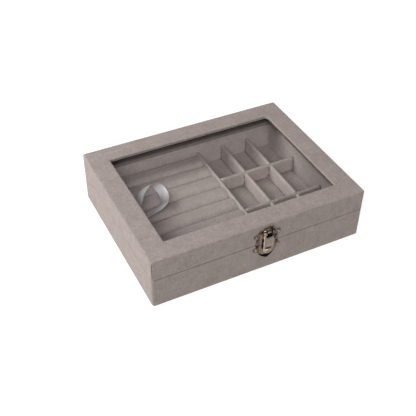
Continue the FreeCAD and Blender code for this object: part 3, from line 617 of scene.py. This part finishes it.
def divider(node, along_x, stations, centre, seed):
    """An upright strip with a rounded top. A station is (place, foot, top)."""
    made = bmesh.new()
    half = DIVIDER_HALF
    round_steps = 8
    loops = []
    for place, foot, top in stations:
        section = [(-half, foot), (half, foot)]
        section += [(half, foot + (top - half - foot) * step / 4) for step in range(1, 4)]
        for step in range(round_steps + 1):
            angle = math.pi * step / round_steps
            section.append((half * math.cos(angle), top - half + half * math.sin(angle)))
        section += [(-half, foot + (top - half - foot) * step / 4) for step in range(3, 0, -1)]
        ring = []
        for across, height in section:
            point = Vector((place, centre, height))
            sway = 0.1 * unevenness(point, 16.0, seed) if foot < height else 0.0
            swell = 1 - 0.05 * abs(unevenness(point, 6.0, seed + 3))
            shift = centre + across * swell + sway
            ring.append(made.verts.new((place, shift, height) if along_x else (shift, place, height)))
        loops.append(ring)
    closed_ends(made, loops)
    stand_for(finish_mesh(f"{node}_cloth", made, LINING), "base", node)


def divider_stations(start, end, foot, top, laps, lap_foot, lap_top):
    """Stations along a divider; inside each lap (low, high) its foot or top steps to the half lap."""
    edges = [start]
    for low, high in laps:
        edges += [low, high]
    edges.append(end)
    stations = []
    for index in range(len(edges) - 1):
        inside = index % 2 == 1
        section = (lap_foot, lap_top) if inside else (foot, top)
        places = spread(edges[index], edges[index + 1], SIDE_PITCH) + [edges[index + 1]]
        stations += [(place, *section) for place in places]
    return stations


def dividers():
    longs = {index: low_high(f"long_divider_{index}") for index in (1, 2)}
    crosses = {index: low_high(f"cross_divider_{index}") for index in (1, 2)}
    low, high = low_high("main_divider")
    foot, top = low.z, high.z
    middle = (foot + top) / 2
    stations = divider_stations(low.y, high.y, foot, top, (), foot, top)
    divider("main_divider", False, stations, (low.x + high.x) / 2, 1.1)
    for index, (low, high) in longs.items():
        laps = [(other[0].y - LAP_ROOM, other[1].y + LAP_ROOM) for other in crosses.values()]
        stations = divider_stations(low.y, high.y, foot, top, laps, foot, middle)
        divider(f"long_divider_{index}", False, stations, (low.x + high.x) / 2, 2.2 + index)
    for index, (low, high) in crosses.items():
        laps = [(other[0].x - LAP_ROOM, other[1].x + LAP_ROOM) for other in longs.values()]
        stations = divider_stations(low.x, high.x, foot, top, laps, middle + LAP_ROOM, top)
        divider(f"cross_divider_{index}", True, stations, (low.y + high.y) / 2, 5.2 + index)


# Ring rolls

def ring_roll(index):
    """A foam roll in velvet: pressed square by its neighbours, flat under itself, tucked in at its ends."""
    node = f"ring_roll_{index}"
    low, high = low_high(node)
    centre = (low.y + high.y) / 2
    radius = (high.y - low.y) / 2
    half = radius + 0.1
    rise = high.z - radius
    squareness = 2.8
    start, end = low.x - 0.1, high.x + 0.2
    tuck = 1.6
    puckers = 9
    steps = 48
    near = [0.0, 0.1, 0.3, 0.6, 1.0, 1.6, 2.4, 4.0]
    plain_from, pitch = 6.5, 2.6
    length = end - start
    stations = near + spread(plain_from, length - plain_from, pitch)
    stations += [length - plain_from] + [length - place for place in reversed(near)]
    made = bmesh.new()
    loops = []
    for place in stations:
        inward = min(place, length - place, tuck) / tuck
        drawn = 0.95 + 0.05 * math.sqrt(1 - (1 - inward) ** 2)
        ring = []
        for step in range(steps):
            angle = 2 * math.pi * step / steps
            across, up = math.cos(angle), math.sin(angle)
            fullness = (abs(across) ** squareness + abs(up) ** squareness) ** (-1 / squareness)
            point = Vector((start + place, centre + across * radius, rise + up * radius))
            swell = 1 - 0.02 * abs(unevenness(point, 12.0, index * 1.9))
            pucker = 1 + 0.012 * (1 - inward) * math.sin(puckers * angle + index)
            reach = drawn * fullness * swell * pucker
            height = max(rise + up * radius * reach, low.z)
            ring.append(made.verts.new((start + place, centre + across * half * reach, height)))
        loops.append(ring)
    closed_ends(made, loops)
    roll = finish_mesh(f"{node}_pad", made, LINING)
    stand_for(roll, "base", node)


# Nails

NAIL_PROFILE = (
    (0.55, -3.0), (0.55, 0.0), (1.38, 0.0), (1.4, 0.12), (1.3, 0.26), (1.05, 0.46), (0.7, 0.6), (0.35, 0.67),
)
NAIL_RADIUS = 1.4
NAIL_RISE = 0.7
HINGE_NAIL_PITCH = 16.0


def nail_heads(node, body, places, face, side, material):
    """Low domed heads with a thin rim, each on a short shank."""
    made = bmesh.new()
    for x, z in places:
        loops = []
        for radius, rise in NAIL_PROFILE:
            points = [(x + radius * across, face + side * rise, z + radius * up) for across, up in circle(20)]
            loops.append([made.verts.new(point) for point in points])
        closed_ends(made, loops)
    stand_for(finish_mesh(f"{node}_heads", made, material), body, node)


def nails():
    for part in ("lid", "base"):
        low, high = low_high(f"clasp_{part}_nails")
        middle = (low.z + high.z) / 2
        places = [(x, middle) for x in (low.x + NAIL_RADIUS, high.x - NAIL_RADIUS)]
        nail_heads(f"clasp_{part}_nails", part, places, low.y + NAIL_RISE, -1, HASP_METAL)
        low, high = low_high(f"hinge_{part}_nails")
        middle = (low.z + high.z) / 2
        first, last = low.x + NAIL_RADIUS, high.x - NAIL_RADIUS
        places = [(x, middle) for x in (first, first + HINGE_NAIL_PITCH, last - HINGE_NAIL_PITCH, last)]
        nail_heads(f"hinge_{part}_nails", part, places, high.y - NAIL_RISE, 1, HINGE_METAL)


# Clasp

CLASP_MIDDLE = 3.6
WALL = -77.5
PLATE_THICKNESS = 0.8
FLANGE_HALF_WIDTH = 10.6
EMBOSS_HALF_WIDTH = 8.2
EMBOSS_RISE = 1.1
EMBOSS_CROWN = 0.6
EAR_REACH = 12.8
EAR_RADIUS = 2.4
PIN_HEIGHT = 43.2
PIN_PLACE = -80.5
PIN_BORE = 0.75
KNUCKLE_RADIUS = 1.9
LID_PLATE_MIDDLE = 39.4
BASE_PLATE_MIDDLE = 24.8
BARREL = (-2.45, 2.45)
HASP_KNUCKLES = ((-5.8, -2.6), (2.6, 5.8))


def arc_between(first, last, radius, steps):
    """Points on the arc that bulges to the right of the line from first to last, without the last."""
    first, last = Vector(first), Vector(last)
    half = (last - first) / 2
    away = Vector((-half.y, half.x)).normalized() * math.sqrt(radius * radius - half.length_squared)
    centre = first + half + away
    start = first - centre
    turn = start.angle_signed(last - centre)
    return [centre + Matrix.Rotation(-turn * step / steps, 2) @ start for step in range(steps)]


def ear_bar():
    straight = EAR_REACH - EAR_RADIUS
    points = []
    for middle, start in ((straight, -90), (-straight, 90)):
        for step in range(13):
            angle = math.radians(start + 180 * step / 12)
            points.append(Vector((middle + EAR_RADIUS * math.cos(angle), EAR_RADIUS * math.sin(angle))))
    return points


def reach_of(polygon, angle):
    """How far a ray from the origin goes inside a convex polygon that runs counter-clockwise round it."""
    ray = Vector((math.cos(angle), math.sin(angle)))
    reach = math.inf
    for start, end in zip(polygon, polygon[1:] + polygon[:1]):
        outward = Vector((end.y - start.y, start.x - end.x))
        facing = outward.dot(ray)
        if facing > 1e-9:
            reach = min(reach, outward.dot(start) / facing)
    return reach


def stamped_plate(middle, body, emboss, dark_at):
    """A plate on the front wall: a convex body with ears, an embossed middle and a rounded edge."""
    made, dark_values = shaded_mesh()
    ears = ear_bar()
    steps, rings = 180, 26
    edge = {0: 0.35, 1: 0.66}
    angles = [2 * math.pi * step / steps for step in range(steps)]
    emboss_reach = [reach_of(emboss, angle) for angle in angles]
    full_reach = [max(reach_of(body, angle), reach_of(ears, angle)) for angle in angles]

    def vertex(step, share, rise):
        reach = full_reach[step] * share
        x, z = reach * math.cos(angles[step]), reach * math.sin(angles[step])
        made_vertex = made.verts.new((CLASP_MIDDLE + x, WALL - rise, middle + z))
        made_vertex[dark_values] = dark_at(x, z, reach / emboss_reach[step])
        return made_vertex

    loops = [[vertex(step, 1.0, 0.0) for step in range(steps)]]
    for ring in range(rings):
        share = 1 - max(0.0, ring - 0.6) / rings
        heights = []
        for step in range(steps):
            inside = full_reach[step] * share / emboss_reach[step]
            swell = EMBOSS_RISE * smooth_step(1.0, 0.8, inside) + EMBOSS_CROWN * max(0.0, 1 - inside * inside)
            heights.append(edge.get(ring, PLATE_THICKNESS) + swell)
        loops.append([vertex(step, share, rise) for step, rise in enumerate(heights)])
    closed_ends(made, loops)
    return made, dark_values


def knuckle(made, start, end):
    """A bored knuckle on the hasp's pin, with rounded rims. Its ends are given from the clasp's middle."""
    start, end = CLASP_MIDDLE + start, CLASP_MIDDLE + end
    outer, inner, rim = KNUCKLE_RADIUS, PIN_BORE, 0.6
    bend = rim * (1 - math.sqrt(0.5))
    profile = [(start + rim, outer), (end - rim, outer), (end - bend, outer - bend), (end, outer - rim),
               (end, inner), (start, inner), (start, outer - rim), (start + bend, outer - bend)]
    loops = []
    for x, radius in profile:
        points = [(x, PIN_PLACE + radius * across, PIN_HEIGHT + radius * up) for across, up in circle(32)]
        loops.append([made.verts.new(point) for point in points])
    loops_to_faces(made, loops, closed_along=True)


def two_arcs(first, tip, last, radius, steps):
    """Points on two equal arcs that meet at a tip."""
    return arc_between(first, tip, radius, steps) + arc_between(tip, last, radius, steps) + [Vector(last)]


def pressed_dark(inside):
    """Darker along the edge of the embossed middle, and a little darker on the flange round it."""
    outline = math.exp(-((inside - 1.0) / 0.05) ** 2)
    return max(0.75 * outline, 0.25 * smooth_step(0.98, 1.04, inside))


def lid_plate_dark(x, z, inside):
    # Painted shade behind the hasp, black where the notch shows the plate, and painted shade under the ears.
    behind_hasp = smooth_step(-5.2, -3.6, x) * smooth_step(8.4, 7.4, x)
    behind_hasp *= smooth_step(2.2, 0.8, z) * smooth_step(-7.5, -4.5, z)
    under_ear = smooth_step(-1.9, -2.8, z) * smooth_step(-5.0, -4.0, z) * smooth_step(8.0, 8.8, abs(x))
    return max(0.97 * behind_hasp, 0.8 * under_ear, pressed_dark(inside))


def base_plate_dark(x, z, inside):
    # Painted shade: black on the pointed foot below the hasp's lip, and on the flange above the ears by the
    # parting.
    foot = smooth_step(-4.4, -5.6, z) * smooth_step(8.4, 7.0, abs(x))
    over_ear = smooth_step(2.0, 2.8, z) * smooth_step(8.0, 8.8, abs(x))
    return max(foot, 0.8 * over_ear, pressed_dark(inside))


def clasp_lid_plate():
    """A domed plate with ears, which carries the barrel of the hasp's pin."""
    half, flange = EMBOSS_HALF_WIDTH, FLANGE_HALF_WIDTH
    dome = two_arcs((9.6, 0.0), (0, 7.8), (-9.6, 0.0), 9.0, 10)
    body = [Vector((-flange, -9.2)), Vector((flange, -9.2))] + dome
    arch = two_arcs((half, -0.6), (0, 6.4), (-half, -0.6), 8.2, 10)
    emboss = [Vector((-half, -12.0)), Vector((half, -12.0))] + arch
    made, dark_values = stamped_plate(LID_PLATE_MIDDLE, body, emboss, lid_plate_dark)
    stamped = set(made.verts)
    knuckle(made, *BARREL)
    # Painted shade on the pin's barrel, all but its top.
    for vertex in made.verts:
        if vertex not in stamped:
            vertex[dark_values] = smooth_step(PIN_HEIGHT + 1.5, PIN_HEIGHT + 0.6, vertex.co.z)
    web_low = (CLASP_MIDDLE - 2.4, PIN_PLACE + 0.9, PIN_HEIGHT + 0.8)
    web_high = (CLASP_MIDDLE + 2.4, WALL - 0.2, PIN_HEIGHT + KNUCKLE_RADIUS)
    soft_box_into(made, web_low, web_high, 0.3)
    piece = finish_mesh("clasp_lid_plate_stamped", made, PLATE_METAL)
    stand_for(piece, "lid", "clasp_lid_plate")


def clasp_base_plate():
    """A pointed plate with ears and the catch for the hasp's slot."""
    half, flange = EMBOSS_HALF_WIDTH, FLANGE_HALF_WIDTH
    point = two_arcs((-9.4, -1.6), (0.8, -11.8), (9.4, -1.6), 17.0, 8)
    body = [Vector((flange, 5.0)), Vector((-flange, 5.0))] + point
    keel = two_arcs((-half, -1.8), (0.8, -10.8), (half, -1.8), 17.0, 8)
    emboss = [Vector((half, 8.0)), Vector((-half, 8.0))] + keel
    made, dark_values = stamped_plate(BASE_PLATE_MIDDLE, body, emboss, base_plate_dark)
    stamped = set(made.verts)
    catch_low = (CLASP_MIDDLE - 3.1, -81.6, 27.4)
    catch_high = (CLASP_MIDDLE + 1.2, WALL - 0.2, 28.8)
    soft_box_into(made, catch_low, catch_high, 0.3)
    # The catch is painted black, as painted shade in the hasp's slot.
    for vertex in made.verts:
        if vertex not in stamped:
            vertex[dark_values] = 1.0
    piece = finish_mesh("clasp_base_plate_stamped", made, PLATE_METAL)
    stand_for(piece, "base", "clasp_base_plate")


HASP_FACE = -80.9
HASP_LIP_START = 26.6
HASP_LIP_RADIUS = 6.0
HASP_LIP_TURN = math.radians(36)
HASP_REST = math.radians(4)
HASP_MIDDLE = 3.3
HASP_SKEW = 0.75
HASP_HALF_WIDTHS = (
    (0.0, 5.4), (3.0, 5.4), (4.2, 5.1), (5.2, 4.7), (6.2, 4.6), (7.4, 4.8), (9.0, 5.1), (11.0, 5.0),
    (12.5, 4.8), (14.0, 4.55), (15.5, 4.5), (16.8, 4.4), (18.0, 4.1), (19.0, 3.4), (19.8, 2.3), (20.4, 1.0),
)
HASP_LENGTH = PIN_HEIGHT - HASP_LIP_START + HASP_LIP_RADIUS * HASP_LIP_TURN
NOTCH_FOOT = PIN_HEIGHT - 38.8
SLOT_TOP = PIN_HEIGHT - 29.0
SLOT_FOOT = PIN_HEIGHT - 27.1
NOTCH_SHARE = 0.5
SLOT_SHARE = 0.6
HASP_ROWS = (
    (0.0, NOTCH_FOOT, 6), (NOTCH_FOOT, SLOT_TOP, 18), (SLOT_TOP, SLOT_FOOT, 5), (SLOT_FOOT, HASP_LENGTH, 14),
)
HASP_HALF_COLUMNS = (0.0, 0.12, 0.25, 0.38, 0.5, 0.6, 0.667, 0.72, 0.77, 0.83, 0.88, 0.93, 0.97, 1.0)
FAR_KNUCKLE_SHADE = 0.6


def hasp_path(distance):
    """A point (y, z) of the hasp's middle surface and its outward direction, this far below the pin."""
    straight = PIN_HEIGHT - HASP_LIP_START
    if distance <= straight:
        return Vector((HASP_FACE, PIN_HEIGHT - distance)), Vector((-1, 0))
    turn = (distance - straight) / HASP_LIP_RADIUS
    out, down = HASP_LIP_RADIUS * (1 - math.cos(turn)), HASP_LIP_RADIUS * math.sin(turn)
    return Vector((HASP_FACE - out, HASP_LIP_START - down)), Vector((-math.cos(turn), math.sin(turn)))


def hasp_half_width(distance):
    for (start, first), (end, last) in zip(HASP_HALF_WIDTHS, HASP_HALF_WIDTHS[1:]):
        if distance <= end:
            return first + (last - first) * (distance - start) / (end - start)
    return HASP_HALF_WIDTHS[-1][1]


def hasp_rise(side, share, x, distance, raised):
    """How far the strap's outer (1) or inner (-1) face stands out from its middle surface."""
    thick = 0.5 * (1 - 0.7 * smooth_step(0.7, 1.0, abs(share)))
    thick *= 1 - 0.5 * smooth_step(HASP_LENGTH - 0.8, HASP_LENGTH, distance)
    rise = thick + 0.5 * raised if side > 0 else -thick
    rise -= 0.9 * share * share * smooth_step(SLOT_FOOT - 1.0, SLOT_FOOT + 2.0, distance)
    if side > 0:
        arm = max(0.0, 1 - ((abs(x) - 4.3) / 1.1) ** 2)
        rise += 0.55 * arm * smooth_step(6.5, 3.5, distance)
    return rise


def hasp_dark(side, share, distance, raised):
    """Darker round the panel; painted shade on the back, at the slot and on the right arm; painted highlights
    on the left edge and below the slot.
    """
    at_slot = SLOT_TOP - 0.01 < distance < SLOT_FOOT + 0.01 and abs(share) < SLOT_SHARE + 0.01
    # The back faces the plate and is painted in shade, black at the slot.
    if side < 0:
        return max(0.4, 1.0 * at_slot)
    past_slot = distance - SLOT_FOOT
    slot_edge = smooth_step(1.6, 0.0, past_slot) * smooth_step(-0.4, 0.0, past_slot)
    # Painted highlights along the left edge and along the left of the slot's foot.
    edge_highlight = smooth_step(-0.8, -0.93, share) + slot_edge * smooth_step(0.2, -0.5, share)
    # Painted shade on the right arm.
    far_arm_shade = smooth_step(NOTCH_FOOT + 0.4, NOTCH_FOOT - 0.6, distance) * smooth_step(0.3, 0.5, share)
    # A painted glint on the lip below the slot.
    glint = smooth_step(0.0, 0.3, past_slot) * smooth_step(1.5, 0.9, past_slot)
    glint *= smooth_step(-0.75, -0.55, share) * smooth_step(0.0, -0.3, share)
    dark = max(2.0 * raised * (1 - raised), 0.5 * at_slot, 0.8 * far_arm_shade)
    return dark - 0.9 * min(edge_highlight, 1.0) - 1.3 * glint


def hasp():
    """The strap has arms to two knuckles, a raised panel, a slot for the catch and a flared thumb lip."""
    rows = []
    for low, high, count in HASP_ROWS:
        rows += [low + (high - low) * step / count for step in range(count)]
    rows.append(HASP_LENGTH)
    columns = [-share for share in reversed(HASP_HALF_COLUMNS[1:])] + list(HASP_HALF_COLUMNS)
    made, dark_values = shaded_mesh()
    swing = Matrix.Rotation(HASP_REST, 3, Vector((-1, 0, 0)))
    pin = Vector((0, PIN_PLACE, PIN_HEIGHT))

    def vertex(side, distance, share):
        point, outward = hasp_path(distance)
        x = share * hasp_half_width(distance)
        raised = smooth_step(4.6, 5.2, distance) * smooth_step(13.4, 12.8, distance)
        raised *= smooth_step(4.3, 3.7, abs(x))
        rise = hasp_rise(side, share, x, distance, raised)
        middle = HASP_MIDDLE - HASP_SKEW * smooth_step(11.0, 15.0, distance)
        place = Vector((middle + x, point.x + outward.x * rise, point.y + outward.y * rise))
        made_vertex = made.verts.new(pin + swing @ (place - pin))
        made_vertex[dark_values] = hasp_dark(side, share, distance, raised)
        return made_vertex

    def kept(row, column):
        if not (0 <= row < len(rows) - 1 and 0 <= column < len(columns) - 1):
            return False
        middle = (columns[column] + columns[column + 1]) / 2
        distance = (rows[row] + rows[row + 1]) / 2
        notch = distance < NOTCH_FOOT and abs(middle) < NOTCH_SHARE
        slot = SLOT_TOP < distance < SLOT_FOOT and abs(middle) < SLOT_SHARE
        return not (notch or slot)

    front = [[vertex(1, distance, share) for share in columns] for distance in rows]
    back = [[vertex(-1, distance, share) for share in columns] for distance in rows]
    for row in range(len(rows) - 1):
        for column in range(len(columns) - 1):
            if not kept(row, column):
                continue
            square = ((row, column), (row, column + 1), (row + 1, column + 1), (row + 1, column))
            made.faces.new([front[i][j] for i, j in square])
            made.faces.new([back[i][j] for i, j in reversed(square)])
            beyond = ((row - 1, column), (row, column + 1), (row + 1, column), (row, column - 1))
            for number, neighbour in enumerate(beyond):
                if not kept(*neighbour):
                    (i, j), (k, m) = square[number], square[(number + 1) % 4]
                    made.faces.new((front[i][j], back[i][j], back[k][m], front[k][m]))
    loose = [point for point in made.verts if not point.link_faces]
    bmesh.ops.delete(made, geom=loose, context="VERTS")
    strap = set(made.verts)
    for ends in HASP_KNUCKLES:
        knuckle(made, *ends)
    # Painted shade on the far knuckle.
    for point in made.verts:
        if point not in strap and point.co.x > CLASP_MIDDLE:
            point[dark_values] = FAR_KNUCKLE_SHADE
    piece = finish_mesh("clasp_hasp_stamped", made, HASP_METAL)
    stand_for(piece, "hasp", "clasp_hasp")


# Ribbon stay

RIBBON_WIDTH = 10.0
RIBBON_STEPS = 6
RIBBON_TURN = 7
RIBBON_STATIONS = (
    ((-92.2, -4.5, 24.5), (0.11, -0.97, 0.22)),
    ((-81.2, -1.8, 24.9), (0.28, -0.92, 0.29)),
    ((-72.1, 1.0, 25.1), (0.25, -0.90, 0.36)),
    ((-62.2, 3.8, 25.1), (0.25, -0.87, 0.42)),
    ((-54.4, 6.6, 25.1), (0.41, -0.76, 0.51)),
    ((-49.1, 11.4, 25.1), (0.64, -0.45, 0.62)),
    ((-46.2, 18.5, 25.4), (0.64, -0.23, 0.73)),
    ((-45.8, 24.7, 26.6), (0.52, -0.23, 0.83)),
    ((-47.4, 28.5, 28.7), (0.45, -0.39, 0.80)),
    ((-50.1, 30.2, 31.2), (0.43, -0.56, 0.70)),
    ((-54.1, 29.8, 33.2), (0.38, -0.63, 0.68)),
    ((-60.0, 26.7, 34.3), (0.50, -0.57, 0.65)),
    ((-67.3, 19.7, 35.2), (0.63, -0.47, 0.61)),
    ((-74.9, 9.3, 35.9), (0.69, -0.43, 0.58)),
    ((-81.7, -1.8, 36.3), (0.72, -0.46, 0.52)),
    ((-87.5, -8.8, 36.5), (0.57, -0.70, 0.44)),
    ((-92.2, -11.2, 36.5), (0.17, -0.92, 0.35)),
)
# Painted shade and, below 0, painted highlights along the stay, one value a station; the brightest is near
# the turn.
RIBBON_SHADE = (0.1, 0.1, 0.12, 0.15, 0.2, 0.5, -0.1, -0.7, -0.5, -0.1, 0.0, 0.0, 0.0, 0.0, 0.05, 0.1, 0.1)


def smooth_line(points, steps):
    """A curve through the points, with this many steps between two of them."""
    points = [Vector(point) for point in points]
    points = [2 * points[0] - points[1]] + points + [2 * points[-1] - points[-2]]
    line = []
    for first, second, third, fourth in zip(points, points[1:], points[2:], points[3:]):
        for step in range(steps):
            t = step / steps
            squared = 2 * first - 5 * second + 4 * third - fourth
            cubed = 3 * second - first - 3 * third + fourth
            line.append(0.5 * (2 * second + (third - first) * t + squared * t ** 2 + cubed * t ** 3))
    line.append(points[-2])
    return line


def ribbon_length(middles, shades, widths, name, first_row):
    """One length of the stay, as a strip of rows across it."""
    shares = [-0.5, -0.34, -0.17, 0.0, 0.17, 0.34, 0.5]
    wall = low_high("base_left_liner")[1].x + 0.1
    made, dark_values = shaded_mesh()
    rows = []
    for middle, width, shade in zip(middles, widths, shades):
        row = []
        for share in shares:
            point = middle + width.normalized() * RIBBON_WIDTH * share
            point.x = max(point.x, wall)
            vertex = made.verts.new(point)
            vertex[dark_values] = shade.x
            row.append(vertex)
        rows.append(row)
    loops_to_faces(made, rows, closed_across=False)
    made.verts.index_update()
    layer = made.loops.layers.uv.new("along")
    for face in made.faces:
        for corner in face.loops:
            row, place = divmod(corner.vert.index, len(shares))
            corner[layer].uv = (place / (len(shares) - 1), first_row + row)
    return finish_mesh(name, made, SATIN)


def ribbon():
    """The stay leaves the base's left wall, turns over in a wide loop and ends at the lid's left wall.

    Its two lengths meet at the turn."""
    middles = smooth_line([station[0] for station in RIBBON_STATIONS], RIBBON_STEPS)
    widths = smooth_line([station[1] for station in RIBBON_STATIONS], RIBBON_STEPS)
    shades = smooth_line([(shade, 0, 0) for shade in RIBBON_SHADE], RIBBON_STEPS)
    turn = RIBBON_TURN * RIBBON_STEPS
    for end, rows, tip in (("base", slice(0, turn + 1), middles[0]), ("lid", slice(turn, None), middles[-1])):
        line = middles[rows]
        name = f"ribbon_stay_{end}_length"
        strip = ribbon_length(line, shades[rows], widths[rows], name, rows.start)
        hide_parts("ribbon_stay")
        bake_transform(strip)


# Finishes of the CAD solids that stay

def dress(names, material):
    for name in names:
        materials = nodes[name].data.materials
        materials.clear()
        materials.append(material)


def soften(names, width):
    """Rounds the edges of stamped metal so that they catch the light."""
    for name in names:
        bevel = nodes[name].modifiers.new("edges", "BEVEL")
        bevel.width = width * MM
        bevel.segments = 2
        bevel.limit_method = "ANGLE"
        bevel.angle_limit = math.radians(40)


def dress_solids():
    dress([name for name in nodes if name.endswith("_board")], BOARD)
    dress(["base_floor_liner"], LINING)
    dress(["base_felt_sheet"], FELT)
    dress(["glass_pane"], GLASS)
    dress(["glass_retainer_frame"], CARD)
    dress(["clasp_pin"], HINGE_METAL)
    parts = ("base_leaf", "lid_leaf", "pin")
    hinges = [f"{side}_hinge_{part}" for side in ("left", "right") for part in parts]
    dress(hinges, HINGE_METAL)
    soften(hinges, 0.15)


# Camera, light and floor

CAMERA_PLACE = (-247.455, -455.380, 458.513)
CAMERA_ANGLES = (-27.393, 41.007, 1.005)
CAMERA_LENS = 64.84
SENSOR_WIDTH = 36.0


def camera():
    azimuth, elevation, roll = (math.radians(angle) for angle in CAMERA_ANGLES)
    back = Vector((math.sin(azimuth) * math.cos(elevation), -math.cos(azimuth) * math.cos(elevation),
                   math.sin(elevation)))
    level = Vector((math.cos(azimuth), math.sin(azimuth), 0))
    rise = back.cross(level)
    right = level * math.cos(roll) + rise * math.sin(roll)
    up = rise * math.cos(roll) - level * math.sin(roll)
    data = bpy.data.cameras.new("camera")
    data.lens = CAMERA_LENS
    data.sensor_width = SENSOR_WIDTH
    thing = bpy.data.objects.new("camera", data)
    turn = Matrix((right, up, back)).transposed().to_4x4()
    thing.matrix_world = Matrix.Translation(Vector(CAMERA_PLACE) * MM) @ turn
    bpy.context.scene.collection.objects.link(thing)
    bpy.context.scene.camera = thing


def area_light(name, place, size, power):
    data = bpy.data.lights.new(name, "AREA")
    data.shape = "RECTANGLE"
    data.size, data.size_y = size, size
    data.energy = power
    thing = bpy.data.objects.new(name, data)
    thing.location = place
    thing.rotation_euler = (-Vector(place)).to_track_quat("-Z", "Y").to_euler()
    bpy.context.scene.collection.objects.link(thing)
    return thing


WORLD_STRENGTH = 0.2
FLOOR_GLOW = 0.85
FLOOR_REACH = 6.0
GLOSS_CARDS = (
    ("front_card", (0.55, -1.15, 0.75), 1.1, 4.0),
    ("top_card", (0.4, -0.4, 1.4), 0.9, 2.8),
)


def studio():
    world = bpy.data.worlds.new("studio")
    world.use_nodes = True
    set_sockets(world.node_tree.nodes["Background"], {"Color": WHITE, "Strength": WORLD_STRENGTH})
    bpy.context.scene.world = world
    bpy.context.scene.view_settings.view_transform = "Standard"
    area_light("front_key", (-0.9, -1.7, 1.65), 1.3, 37.0)
    area_light("left_back", (-0.75, 0.35, 0.62), 0.6, 10.0).visible_glossy = False
    for name, place, size, power in GLOSS_CARDS:
        area_light(name, place, size, power).visible_diffuse = False
    mesh = bpy.data.meshes.new("floor")
    signs = ((-1, -1), (1, -1), (1, 1), (-1, 1))
    mesh.from_pydata([(x * FLOOR_REACH, y * FLOOR_REACH, 0) for x, y in signs], [], [(0, 1, 2, 3)])
    floor = bpy.data.objects.new("floor", mesh)
    material, tree, shader = new_material("pale_floor")
    position = object_position(tree)
    tone = ramp(tree, noise_of(tree, position, 40.0), *NOISE_MOST, 0.985, 1.0)
    paint(tree, shader, (0.25, 0.25, 0.25), tone)
    set_sockets(shader, {"Roughness": 0.9, "Emission Color": WHITE, "Emission Strength": FLOOR_GLOW})
    mesh.materials.append(material)
    bpy.context.scene.collection.objects.link(floor)


camera()
studio()
dress_solids()
base_cover()
lid_cover()
linings()
dividers()
for number in range(1, 9):
    ring_roll(number)
nails()
clasp_lid_plate()
clasp_base_plate()
hasp()
ribbon()
